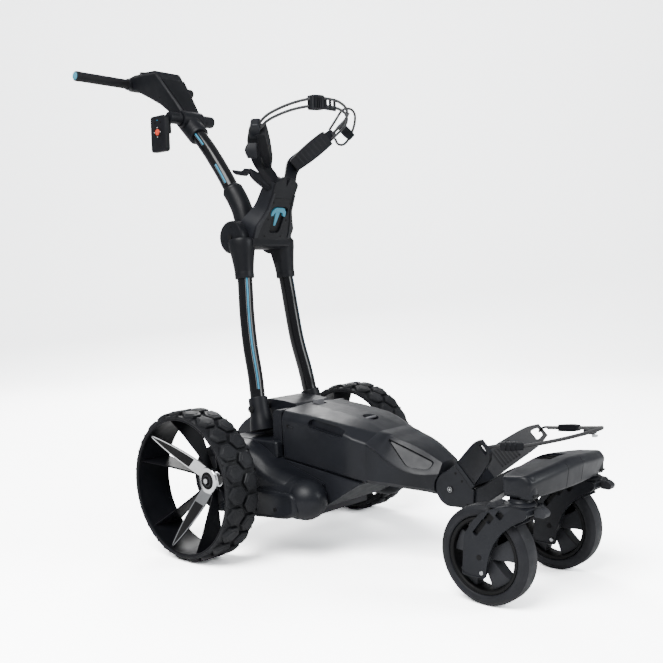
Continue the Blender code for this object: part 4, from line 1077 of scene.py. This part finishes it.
def lower_frame(label, side):
    """Socket with its flared foot, gloss tube with trim stripes, and the sleeve under the knee."""
    body = "lower_frame"
    route = [mirror_x(p, side) for p in TUBE_ROUTE]
    piece(f"frame_tube_{label}", hollow_tube(smooth(route, 10), FRAME_TUBE_R), TUBE, body,
          [f"lower_tube_{label}"], sharp=60)
    low, high = mirror_x((0.0862, -0.03, 0.2365), side), mirror_x((0.0802, -0.012, 0.304), side)
    length = (high - low).length
    foot = [(0, 0.025), (0.0008, 0.0258), (0.008, 0.0256), (0.018, 0.0243), (0.03, 0.0224), (0.04, 0.0214),
            (length - 0.0015, 0.0205), (length, 0.0198), (length, 0.016)]
    piece(f"frame_socket_{label}", turned(foot, low, (high - low).normalized(), 64), PLASTIC, body,
          [f"lower_socket_{label}"], sharp=35)
    for k, z in enumerate((0.248, 0.286)):
        t = (z - low.z) / (high.z - low.z)
        spot = low.lerp(high, t) + Vector((side * -0.006, -0.0225 + 0.004 * k, 0))
        screw(f"frame_socket_screw_{label}_{k}", spot, (side * -0.25, -0.96, 0.1), 0.0036, body, STEEL,
              0.0012)
    trims = [(118, 0.0034, BLUE_LINE, "blue_trim"), (131, 0.0007, SILVER_LINE, "steel")]
    for k, (angle, width, mat, slot) in enumerate(trims):
        t = angle if side < 0 else 180 - angle
        stripe(f"frame_trim_{label}_{k}", along_route(route, 0.2, 0.9), FRAME_TUBE_R, -t, width, mat,
               body)
    bottom = mirror_x((0.0629, 0.0338, 0.556), side)
    top = mirror_x((0.0595, 0.044, 0.64), side)
    axis = (top - bottom).normalized()
    span = (top - bottom).length
    sleeve = [(0, 0.0162), (0, 0.0196), (0.0015, 0.0206), (0.011, 0.0208), (0.0125, 0.0203), (0.014, 0.0205),
              (0.03, 0.0222), (0.052, 0.0255), (0.065, 0.028), (span - 0.006, 0.0296), (span, 0.027)]
    slot_cut = box((-0.0402, 0.0265, 0.59), (0.0402, 0.11, 0.7))
    piece(f"knee_leg_{label}", turned(sleeve, bottom, axis, 64), PLASTIC, body, cuts=[slot_cut], sharp=35)
    disc = mm([(40.5, 33.5), (42, 35), (56, 36.2), (70, 36), (74.5, 35.2), (76.8, 33.5), (77.8, 30), (78, 13),
               (77.2, 11)])
    piece(f"knee_disc_{label}", turned(disc, (0, *KNEE.yz), (side, 0, 0), 88), PLASTIC, body, sharp=30)
    for k in range(3):
        t = math.radians(100 + 120 * k)
        at = (side * 0.0779, KNEE.y + 0.022 * math.cos(t), KNEE.z + 0.022 * math.sin(t))
        screw(f"knee_screw_{label}_{k}", at, (side, 0, 0), 0.0024, body, DARK, 0.0007)


def knee():
    """Cross piece between the knee discs."""
    outline = mm([(12, 626), (25.5, 618), (25.8, 635), (18, 642), (11, 640)])
    piece("knee_cross", side_prism(rounded(outline, 0.004, 4), -0.056, 0.056), PLASTIC, "lower_frame",
          ["knee_housing"], bevel=0.0015, segments=3)
    dress(DARK, "knee_pin")


def handle():
    """Folding sleeve and the curved handle tube with its trim."""
    start = [(0, 0.085, 0.652)] + HANDLE_ROUTE[1:4]
    path = smooth(start, 8)
    count = len(path) - 1

    def outline(t):
        radius = 0.0236 if t < 0.88 else 0.0236 - 0.0035 * (t - 0.88) / 0.12
        return circle(radius, 48)
    piece("handle_sleeve_shell", sweep(path, outline), PLASTIC, "handle", ["handle_sleeve"], bevel=0.001)
    lug = mm([(-38.2, 24), (-37.2, 26.2), (-34, 26.8), (34, 26.8), (37.2, 26.2), (38.2, 24)])
    piece("handle_lug", turned(lug, (0, *KNEE.yz), (1, 0, 0), 64), PLASTIC, "handle", sharp=35)
    collar_at = Vector(path[int(count * 0.9)])
    ahead = (Vector(path[-1]) - Vector(path[-3])).normalized()
    ring = mm([(0, 22.5), (1, 23.6), (5, 23.6), (6, 22.5)])
    piece("handle_collar", turned(ring, collar_at, ahead, 48), PLASTIC, "handle", sharp=35)
    tube = smooth(HANDLE_ROUTE, 10)
    piece("handle_tube_shell", hollow_tube(tube, HANDLE_TUBE_R), TUBE, "handle", ["handle_tube"], sharp=60)
    for k, (angle, width, mat, slot) in enumerate(((160, 0.0036, BLUE_LINE, "blue_trim"),
                                                   (172, 0.0007, SILVER_LINE, "steel"),
                                                   (20, 0.0036, BLUE_LINE, "blue_trim"),
                                                   (8, 0.0007, SILVER_LINE, "steel"))):
        for j, (a, b) in enumerate(((0.42, 0.6), (0.8, 0.97))):
            stripe(f"handle_trim_{k}_{j}", along_route(HANDLE_ROUTE, a, b), HANDLE_TUBE_R, -angle, width, mat,
                   "handle")


# ---- bag support ----------------------------------------------------------
def on_plate(x, up, depth):
    """A point given across, up and behind the bracket's front face."""
    return PLATE_POINT + PLATE_UP * up - PLATE_FRONT * depth + Vector((x, 0, 0))


def plate_prism(outline, front, back):
    """Prism of an (x, up) outline between two depths."""
    return loft([[on_plate(x, up, front) for x, up in outline], [on_plate(x, up, back) for x, up in outline]])


def bracket():
    """Bag bracket: plate with keyhole and screws, raised borders, flanks and V arms."""
    body = "lower_frame"
    half = mm([(44, -4.5), (54.5, -4.5), (56.5, 24), (45, 44), (36.5, 64), (33.5, 100), (35.5, 123.5),
               (16, 135.5)])
    hole = rounded(mm([(-12.5, 12.5), (12.5, 12.5), (16.5, 22), (17.5, 48), (24.5, 54), (24.5, 66),
                       (15.5, 71.5), (-15.5, 71.5), (-24.5, 66), (-24.5, 54), (-17.5, 48), (-16.5, 22)]),
                   0.004, 4)
    vee = mm([(-11, 150), (0, 118), (11, 150)])
    plate = plate_prism(rounded(both_sides(half), 0.006, 4), 0, 0.0058)
    piece("bracket_plate", plate, PLASTIC, body, ["bag_bracket"], bevel=0.0012, segments=3,
          cuts=[plate_prism(hole, -0.01, 0.02), plate_prism(vee, -0.01, 0.02)])
    upper = mm([(33.5, 66), (31.8, 100), (33.5, 121.5), (15, 131.5)])
    core = plate_prism(rounded(both_sides(upper), 0.005, 4), 0.005, 0.0255)
    pocket = rounded(both_sides([(0.0268, 0.05), (0.0268, 0.0772)]), 0.004, 3)
    piece("bracket_core", core, PLASTIC, body, bevel=0.002, segments=3,
          cuts=[plate_prism(pocket, -0.01, 0.0185), plate_prism(vee, -0.01, 0.05)])
    # Back wall that closes the keyhole, in deep black: painted shade for the inside of the hole.
    backing_painted_shade = plate_prism(rounded(both_sides([(0.03, 0.008), (0.03, 0.07)]), 0.004, 3), 0.0054, 0.007)
    piece("bracket_backing", backing_painted_shade, DARK, body)
    for label, side in SIDES.items():
        wing = mm([(55, 0), (56, 24), (44.8, 44), (36.2, 64), (33, 100), (28, 100), (30, 64), (38, 40),
                   (44, 18), (45, 0)])
        outline = [(side * x, up) for x, up in wing]
        piece(f"bracket_wing_{label}", plate_prism(rounded(outline, 0.0015, 3), -0.0016, 0.001), SHELL, body,
              bevel=0.0008)
        for k, (x, up) in enumerate(mm(((25, 80), (24, 4), (27, 42)))):
            screw(f"bracket_screw_{label}_{k}", on_plate(side * x, up, 0), PLATE_FRONT, 0.0026, body, DARK,
                  0.0006)
        keys = mm([(-4, 53, 59, 36), (10, 54.5, 60, 42), (24, 55, 59.5, 44), (44, 43.5, 49, 40),
                   (64, 35, 42, 36), (84, 32.5, 40, 34), (104, 32.5, 39, 32), (122, 34.5, 40, 29)])
        lines = []
        for up, edge, outer, depth in keys:
            lines.append([on_plate(side * edge, up, 0.0005),
                          on_plate(side * (edge + outer) / 2, up, depth * 0.45),
                          on_plate(side * outer, up, depth),
                          on_plate(side * (outer - 0.004), up, depth + 0.001),
                          on_plate(side * ((edge + outer) / 2 - 0.004), up, depth * 0.5),
                          on_plate(side * (edge - 0.004), up, 0.004)])
        piece(f"bracket_flank_{label}", skin(lines, 5), SHELL, body, sharp=40)
        arm(label, side)
    seam = [on_plate(-0.031, 0.0895, -0.0002), on_plate(0.031, 0.0895, -0.0002)]
    piece("bracket_seam", sweep(seam, circle(0.0006, 6)), DARK, body)


def arm(label, side):
    """One arm of the V with its ribs, fixings and padded rest."""
    body = "lower_frame"
    root, tip = mirror_x(PAD_ROOT, side), mirror_x(PAD_TIP, side)
    face = mirror_x(PAD_FACE, side)
    along = (tip - root).normalized()
    across = along.cross(face).normalized()
    back = -face * 0.0165
    neck = [(on_plate(side * 0.02, 0.108, 0.016), 0.0158, 0.0085),
            (on_plate(side * 0.026, 0.124, 0.02), 0.0168, 0.0078),
            (root + along * 0.004 + back * 1.2, 0.017, 0.008),
            (root + along * 0.04 + back * 1.3, 0.0168, 0.0115),
            (root + along * 0.08 + back * 1.15, 0.0155, 0.0118), (root + along * 0.098 + back, 0.012, 0.0085)]
    piece(f"arm_{label}", beam(neck, across, face, 6), PLASTIC, body, bevel=0.0016, segments=3)
    ribs = []
    for k in range(5):
        at = root + along * (0.014 + 0.014 * k) + back * 1.25 - face * 0.0105
        ribs.append(beam([(at - along * 0.001, 0.0105 - 0.0008 * k, 0.0014),
                          (at + along * 0.001, 0.0105 - 0.0008 * k, 0.0014)], across, face))
    piece(f"arm_ribs_{label}", merge(*ribs), PLASTIC, body, bevel=0.0005)
    for k in range(2):
        at = root + along * (0.024 + 0.045 * k) + back * 1.25 - face * 0.0108
        screw(f"arm_fixing_{label}_{k}", at, -face, 0.003, body, STEEL, 0.001)
    keys = mm([(0, 11.8, 4.8), (3, 13.3, 5.8), (25, 16.2, 8), (60, 18, 9.6), (94, 17.2, 9.2), (98.5, 16, 7)])
    stations = [(root + along * a, w, h) for a, w, h in keys]
    pad = piece(f"bag_rest_{label}", beam(stations, across, face, 6), PAD, body, [f"bag_pad_{label}"],
                bevel=0.004, segments=4)
    ridges = []
    for k in range(7):
        at = root + along * (0.018 + 0.011 * k) + face * (0.0072 + 0.0004 * min(k, 4))
        ridges.append(beam([(at - along * 0.0022, 0.0125, 0.0013), (at + along * 0.0022, 0.0125, 0.0013)],
                           across, face))
    piece(f"bag_rest_ridges_{label}", merge(*ridges), PAD, body, bevel=0.0009)
    rim = [(root + along * a - face * (h - 0.0012), w + 0.0009, 0.0014) for a, w, h in keys]
    piece(f"bag_rest_rim_{label}", beam(rim, across, face, 6), PLASTIC, body, bevel=0.0006)


def upper_strap():
    """Elastic bag strap: two cords over the arms, clip, ladder piece, anchors, toggle and pull loops."""
    body = "lower_frame"
    high = mm([(-108, -70, 866), (-103, -92, 882), (-80, -116, 898), (-50, -136, 910), (-12, -147, 918),
               (40, -151, 918), (85, -139, 908), (112, -112, 890), (110, -76, 866)])
    replaced = ["upper_strap"]
    for name, drop, inset in (("high", 0.0, 0.0), ("low", 0.016, 0.004)):
        path = []
        for x, y, z in high:
            reach = min(1.0, abs(x) / 0.117)
            path.append((x * (1 - inset * 6 * reach * 0.3), y + inset * (1 - reach),
                         z - drop * (1 - reach * 0.35)))
        piece(f"strap_cord_{name}", sweep(smooth(path, 8), circle(0.0029, 12)), CORD, body, replaced)
        replaced = []
    clip = mm([((-34, -141.5, 907.5), 12.5, 4.5), ((-28, -142.8, 908), 15, 6.2),
               ((-4, -146.2, 909.5), 15, 6.2), ((3, -147, 909.8), 12.5, 4.5)])
    piece("strap_clip", beam(clip, (0, 0, 1), (0, 1, 0), 3), PLASTIC, body, bevel=0.0012,
          segments=3)
    for k in range(4):
        x = -0.026 + 0.0058 * k
        rib = box((x, -0.154, 0.8965), (x + 0.002, -0.1495, 0.9205))
        piece(f"strap_clip_rib_{k}", rib, PLASTIC, body, bevel=0.0004)
    ladder = [cylinder((0.002, -0.1492, z), (0.037, -0.15, z), 0.0026, 12) for z in (0.8985, 0.9195)]
    for x in (0.008, 0.0215, 0.035):
        ladder.append(cylinder((x, -0.1498, 0.8985), (x, -0.1498, 0.9195), 0.003, 12))
    piece("strap_ladder", merge(*ladder), PLASTIC, body)
    for label, side in SIDES.items():
        tip = mirror_x(PAD_TIP, side)
        face = mirror_x(PAD_FACE, side)
        along = (tip - mirror_x(PAD_ROOT, side)).normalized()
        across = along.cross(face).normalized()
        size = 1.1 if side < 0 else 0.85
        head = [(tip - along * 0.034 - face * 0.015, 0.012 * size, 0.007 * size),
                (tip - along * 0.014 - face * 0.0125, 0.0138 * size, 0.01 * size),
                (tip + along * 0.002 - face * 0.0095, 0.0125 * size, 0.0092 * size),
                (tip + along * 0.009 - face * 0.0075, 0.0085 * size, 0.0055 * size)]
        piece(f"strap_anchor_{label}", beam(head, across, face, 4), SHELL, body, bevel=0.003, segments=3)
    near_tip = mirror_x(PAD_TIP, -1)
    toggle = [(near_tip + Vector((-0.012, 0.012, -0.066)), 0.01, 0.007),
              (near_tip + Vector((-0.013, 0.015, -0.05)), 0.012, 0.008),
              (near_tip + Vector((-0.01, 0.013, -0.036)), 0.0095, 0.0065)]
    piece("strap_toggle", beam(toggle, (0.66, -0.75, 0), (0.75, 0.66, 0), 4), PLASTIC, body, bevel=0.002,
          segments=3)
    far_tip = Vector(PAD_TIP)
    seen_right = Vector((0.664, -0.748, 0))
    loops = mm([[(-4, 10), (10, 30), (26, 52), (44, 54), (53, 40), (50, 16), (38, -10), (26, -22), (14, -20),
                 (8, -8)], [(4, -2), (14, 14), (30, 30), (40, 46)]])
    for k, outline in enumerate(loops):
        path = [far_tip + seen_right * a + Vector((0, 0, b)) for a, b in outline]
        piece(f"strap_loop_{k}", sweep(smooth(path, 6), circle(0.0027, 12)), CORD, body)
    grip = [(far_tip + seen_right * 0.02 + Vector((0, 0, 0.02)), 0.0085, 0.004),
            (far_tip + seen_right * 0.034 + Vector((0, 0, 0.004)), 0.01, 0.005),
            (far_tip + seen_right * 0.046 + Vector((0, 0, -0.008)), 0.008, 0.004)]
    piece("strap_loop_grip", beam(grip, (0.48, -0.54, 0.69), (0.75, 0.66, 0), 4), PLASTIC, body,
          bevel=0.0016, segments=3)


def levers():
    """Release lever in the keyhole and the black strap lever beside the bracket."""
    half = mm([(6, 58.8), (11.8, 57.2), (15, 50), (21.6, 49.2), (20.8, 60.5), (12, 68.8)])
    head = rounded(both_sides(half), 0.0022, 4)
    piece("release_head", plate_prism(head, 0.0004, 0.0062), TEAL, "handle_release", ["release_lever"],
          bevel=0.0014, segments=3)
    tongue = rounded(both_sides([(0.0026, 0.027), (0.0072, 0.0615)]), 0.0018, 4)
    piece("release_tongue", plate_prism(tongue, 0.004, 0.008), TEAL, "handle_release", bevel=0.0012)
    profile = mm([(-8, 776), (5, 770.2), (20, 773.5), (30, 778.2), (33.8, 785.8), (22, 783.8), (4, 780),
                  (-6, 785.8)])
    mount = [(on_plate(-0.036, 0.112, 0.02), 0.012, 0.0075), (Vector((-0.058, -0.008, 0.768)), 0.0105, 0.007),
             (Vector((-0.0735, -0.004, 0.778)), 0.0085, 0.0042)]
    piece("strap_lever_mount", beam(mount, (0, 0.35, 0.94), (0, -0.94, 0.35), 5), PLASTIC, "lower_frame",
          bevel=0.0016, segments=3)
    piece("strap_lever_shell", side_prism(rounded(profile, 0.002, 3), -0.0898, -0.0742), PLASTIC,
          "strap_clamp", ["strap_lever"], bevel=0.0012, segments=3)


for frame_label, frame_side in SIDES.items():
    lower_frame(frame_label, frame_side)
knee()
handle()
bracket()
upper_strap()
levers()


# ---- console, grips and remote --------------------------------------------
def console():
    """Wedge-shaped control head with boss, sleeve, face shield, display, buttons and dial."""
    rows = mm([(486.5, 1054.5, 486.5, 1027.5, 19.5, 15.5), (480, 1057, 479, 1024.5, 21, 17),
               (450, 1060, 445, 1018, 24, 18), (395, 1055.5, 396, 995.5, 33, 21.5),
               (342, 1050, 352, 974, 40, 24), (329, 1032, 309, 945, 38, 25), (285, 978, 291, 922, 30, 23.5),
               (248, 928, 276, 902, 22, 22), (242, 914, 262, 892, 18, 19)])
    rings = []
    for y_top, z_top, y_low, z_low, half_top, half_low in rows:
        top, low = Vector((0, y_top, z_top)), Vector((0, y_low, z_low))
        depth = (low - top).length
        down = (low - top).normalized()
        inset = min(0.008, depth * 0.22)
        half = [(half_top - inset * 0.9, 0.0), (half_top, inset), (half_low * 1.02, depth - 0.004),
                (half_low - 0.005, depth)]
        rings.append([top + down * d + Vector((x, 0, 0)) for x, d in rounded(both_sides(half), 0.0028, 3)])
    piece("console_shell", loft(rings), PLASTIC, "handle", ["console_body"], bevel=0.0012, segments=3,
          sharp=32)
    boss = mm([(-30.5, 13), (-30, 17.5), (-27, 19.2), (27, 19.2), (30, 17.5), (30.5, 13)])
    piece("console_boss", turned(boss, STUB, (1, 0, 0), 56), PLASTIC, "handle", sharp=35)
    low, high = Vector((0, 0.238, 0.8875)), Vector((0, 0.285, 0.933))
    sleeve = [(0, 0.0176), (0, 0.0225), (0.0015, 0.0238), (0.008, 0.0245), (0.01, 0.0238), (0.012, 0.0245),
              ((high - low).length, 0.0245)]
    piece("console_sleeve", turned(sleeve, low, (high - low).normalized(), 56), PLASTIC, "handle", sharp=35)
    shield_half = mm([(34.5, 326, 1030), (27, 287, 980), (19.5, 250, 930)])
    front = Vector((0, -0.8, 0.6)).normalized()
    ring = [Vector(p) + front * 0.0012 for p in shield_half]
    ring += [Vector((-p.x, p.y, p.z)) for p in reversed(ring)]
    shield = loft([[p - front * 0.003 for p in ring], ring])
    piece("console_shield", shield, GLOSS, "handle", bevel=0.001)
    screen = mm([(33.5, 350), (24, 418), (-24, 418), (-33.5, 350)])
    glass = [[(x, y, SCREEN_Z + SCREEN_SLOPE * (y - 0.35) + rise) for x, y in rounded(screen, 0.004, 4)]
             for rise in (0.0, 0.0016)]
    piece("console_screen", loft(glass), GLASS, "handle", ["console_display"], bevel=0.0006)
    lift = Vector((0, 0.088, 0.996)).normalized()
    for k, (x, y) in enumerate(((-0.012, 0.434), (0.012, 0.434))):
        at = Vector((x, y, 1.0572))
        button = turned(mm([(0, 3.6), (2.2, 3.6), (3, 2.8)]), at, lift, 24)
        piece(f"console_button_{k}", button, GREY, "handle")
    knob = mm([(0, 8.4), (1, 8.6), (12, 8.4), (13.8, 7.4), (14, 6)])
    flutes = []
    across = Vector((1, 0, 0))
    ahead = DIAL_AXIS.cross(across)
    for k in range(DIAL_FLUTES):
        t = 2 * math.pi * k / DIAL_FLUTES
        at = DIAL + (across * math.cos(t) + ahead * math.sin(t)) * 0.009
        flutes.append(cylinder(at + DIAL_AXIS * 0.002, at + DIAL_AXIS * 0.02, 0.0008, 8))
    dial = turned(knob, DIAL, DIAL_AXIS, 72)
    piece("speed_knob", dial, GREY, "dial", ["speed_dial"], cuts=[merge(*flutes)], sharp=30)
    mark = box((-0.0006, 0.435, 1.0664), (0.0006, 0.4392, 1.0672))
    piece("speed_knob_mark", mark, WHITE, "dial")
    for label, side in SIDES.items():
        edge = [(side * 0.0362, 0.33, 1.033), (side * 0.0292, 0.291, 0.978), (side * 0.0225, 0.252, 0.932)]
        piece(f"console_edge_{label}", sweep(smooth(edge, 6), circle(0.0007, 6)), GREY, "handle")
        for k, (y, z) in enumerate(((0.345, 0.99), (0.295, 0.935))):
            screw(f"console_screw_{label}_{k}", (side * (0.0282 - 0.004 * k), y, z), (side, 0, 0), 0.0022,
                  "handle", DARK, 0.0006)


def grips():
    """T-bar grip with ringed rubber sleeves and tinted end caps, and the short accessory bar."""
    sleeve = [(-0.163, 0.01), (-0.1625, 0.0112)]
    rings = 44
    for k in range(rings):
        x = -0.16 + 0.32 * k / (rings - 1)
        if abs(x) < 0.03:
            continue
        sleeve += [(x - 0.0022, 0.01145), (x - 0.0012, 0.01165), (x + 0.0012, 0.01165), (x + 0.0022, 0.01145)]
    sleeve += [(0.1625, 0.0112), (0.163, 0.01)]
    piece("grip_sleeve", turned(sleeve, BAR, (1, 0, 0), 40), GRIP, "handle", ["grip_bar"], sharp=40)
    collar = mm([(-29, 12.2), (-28, 13.8), (28, 13.8), (29, 12.2)])
    piece("grip_collar", turned(collar, BAR, (1, 0, 0), 48), PLASTIC, "handle", sharp=35)
    for label, side in SIDES.items():
        cap = mm([(162.8, 11.5), (165, 12.1), (170.5, 12), (173.5, 11.3), (174.8, 10.1)])
        piece(f"grip_end_{label}", turned(cap, BAR, (side, 0, 0), 40), GRIP, "handle", [f"grip_cap_{label}"],
              sharp=50)
        face = mm([(174.5, 9.2), (175.8, 8.9), (176.6, 7.6), (177, 4)])
        piece(f"grip_face_{label}", turned(face, BAR, (side, 0, 0), 40), TEAL, "handle", sharp=50)
    bar = mm([(-64.5, 10.5), (-64, 12.8), (-60, 13.6), (-40, 13.6), (-39.5, 13), (-38, 13), (-37.5, 13.6),
              (-33, 13.6), (-30.8, 12), (-30.8, 7.6)])
    profile = bar + [(-a, r) for a, r in reversed(bar)]
    piece("stub_bar", turned(profile, STUB, (1, 0, 0), 48), PLASTIC, "handle", ["accessory_bar"], sharp=30)


def remote():
    """Clip-on remote with its round key, small keys, lamp, grille and back clip."""
    body = "remote"
    outline = rounded(mm([(263.5, 851.5), (316.5, 851.5), (316.5, 934), (263.5, 934)]), 0.008, 6)
    piece("remote_shell", side_prism(outline, -0.0798, -0.0652), PLASTIC, body, ["remote_body"],
          bevel=0.0024, segments=4)
    ring = mm([(0, 14), (0.8, 14), (1.2, 13), (1, 8.2), (0.2, 7.8)])
    piece("remote_ring", turned(ring, (REMOTE_FACE_X, REMOTE_KEY_Y, REMOTE_KEY_Z), (-1, 0, 0), 40), DARK,
          body)
    for k, y in enumerate((0.28, 0.3)):
        small = turned(mm([(0, 3), (1, 3), (1.4, 2.4)]), (REMOTE_FACE_X, y, 0.918), (-1, 0, 0), 24)
        piece(f"remote_small_key_{k}", small, DARK, body)
    lamp = turned(mm([(0, 1.2), (0.6, 1.2), (0.8, 0.8)]), (REMOTE_FACE_X, REMOTE_KEY_Y, 0.923), (-1, 0, 0),
                  16)
    piece("remote_lamp", lamp, BLUE_LINE, body)
    grille = [box((-0.0802, 0.28, 0.862 + 0.003 * k), (-0.0796, 0.3, 0.863 + 0.003 * k)) for k in range(4)]
    piece("remote_grille", merge(*grille), DARK, body)
    key = mm([(0, 7.2), (3.4, 7.2), (4.4, 6.4), (4.6, 4)])
    piece("remote_round_key", turned(key, (-0.0775, REMOTE_KEY_Y, REMOTE_KEY_Z), (-1, 0, 0), 40), RED,
          "remote_key", ["remote_button"], sharp=35)
    for k in range(4):
        t = math.radians(90 * k)
        at = (-0.0806, REMOTE_KEY_Y + 0.0108 * math.cos(t), REMOTE_KEY_Z + 0.0108 * math.sin(t))
        dot = turned([(0, 0.0012), (0.0004, 0.0012)], at, (-1, 0, 0), 12)
        piece(f"remote_dot_{k}", dot, WHITE, body)
    clip = box((-0.0655, 0.269, 0.893), (-0.056, 0.28, 0.93))
    piece("remote_clip", clip, DARK, body, bevel=0.0015)


console()
grips()
remote()


# ---- set ----------------------------------------------------------------
FLOOR_GAIN = 6.4
SKY_LIGHT = 0.36
SKY_SEEN = 2.4


def backdrop():
    """Pale floor that curves up into a wall, shown brighter to the camera than it lights the trolley."""
    path = [(-9.0, 0.0), (3.0, 0.0)] + [(3.0 + 2.5 * math.sin(math.radians(a)),
                                         2.5 - 2.5 * math.cos(math.radians(a))) for a in range(6, 91, 6)]
    path.append((5.5, 8.0))
    bm = bmesh.new()
    rows = [[bm.verts.new((x, along, height)) for x in (-14, 14)] for along, height in path]
    for low, high in zip(rows, rows[1:]):
        bm.faces.new((low[0], low[1], high[1], high[0]))
    mesh = bpy.data.meshes.new("backdrop")
    bm.to_mesh(mesh)
    bm.free()
    mesh.shade_smooth()
    mat, tree, shader = shader_tree("pale_floor")
    tree.nodes.remove(shader)
    shade = blend_colour(tree, noise(tree, 0.6, 2), (0.9, 0.9, 0.9), (0.93, 0.93, 0.93))
    seen = add_node(tree, "ShaderNodeLightPath").outputs["Is Camera Ray"]
    gain = ramp(tree, seen, 0, 1, 1.0, FLOOR_GAIN)
    lifted = add_node(tree, "ShaderNodeVectorMath", operation="SCALE")
    tree.links.new(shade, lifted.inputs[0])
    tree.links.new(gain, lifted.inputs["Scale"])
    matte = add_node(tree, "ShaderNodeBsdfDiffuse")
    tree.links.new(lifted.outputs[0], matte.inputs["Color"])
    tree.links.new(matte.outputs[0], tree.nodes["Material Output"].inputs["Surface"])
    mesh.materials.append(mat)
    obj = bpy.data.objects.new("backdrop", mesh)
    obj.rotation_euler = (0, 0, CAMERA_AZIMUTH)
    link(obj)


def area_light(name, place, target, size, power, colour=(1, 1, 1)):
    """A square soft light aimed at a point."""
    data = bpy.data.lights.new(name, "AREA")
    data.shape = "SQUARE"
    data.size = size
    data.energy = power
    data.color = colour
    obj = bpy.data.objects.new(name, data)
    obj.location = place
    obj.rotation_euler = (Vector(target) - Vector(place)).to_track_quat("-Z", "Y").to_euler()
    link(obj)


CAMERA_AZIMUTH = math.radians(-48.379)
CAMERA_ELEVATION = math.radians(3.616)
CAMERA_ROLL = math.radians(-1.664)


def camera():
    """Camera ahead and to the right of the trolley, just above half its height."""
    data = bpy.data.cameras.new("camera")
    data.lens = 50.19
    data.sensor_width = 36
    data.shift_x = -0.0022
    data.shift_y = 0.0021
    data.clip_end = 60
    obj = bpy.data.objects.new("camera", data)
    back = Vector((math.sin(CAMERA_AZIMUTH) * math.cos(CAMERA_ELEVATION),
                   -math.cos(CAMERA_AZIMUTH) * math.cos(CAMERA_ELEVATION), math.sin(CAMERA_ELEVATION)))
    right = Vector((math.cos(CAMERA_AZIMUTH), math.sin(CAMERA_AZIMUTH), 0))
    up = back.cross(right)
    turned_right = right * math.cos(CAMERA_ROLL) + up * math.sin(CAMERA_ROLL)
    turned_up = up * math.cos(CAMERA_ROLL) - right * math.sin(CAMERA_ROLL)
    turn = Matrix((turned_right, turned_up, back)).transposed()
    obj.rotation_euler = turn.to_euler()
    obj.location = (-1.42481, -1.29374, 0.55934)
    link(obj)
    bpy.context.scene.camera = obj


def studio():
    """Pale surroundings with a large key light from the right, a side strip and a rear light."""
    world = bpy.data.worlds.new("studio")
    world.use_nodes = True
    sky = world.node_tree.nodes["Background"]
    sky.inputs["Color"].default_value = (0.96, 0.98, 1.0, 1)
    tree = world.node_tree
    seen = add_node(tree, "ShaderNodeLightPath").outputs["Is Camera Ray"]
    tree.links.new(ramp(tree, seen, 0, 1, SKY_LIGHT, SKY_SEEN), sky.inputs["Strength"])
    bpy.context.scene.world = world
    centre = (0, 0, 0.4)
    area_light("key", (-2.2, -0.6, 3.0), centre, 2.0, 165)
    area_light("strip", (1.2, -3.0, 1.6), centre, 1.4, 55, (0.95, 0.98, 1.0))
    area_light("rear", (1.8, 2.4, 2.2), centre, 1.6, 60)


backdrop()
camera()
studio()
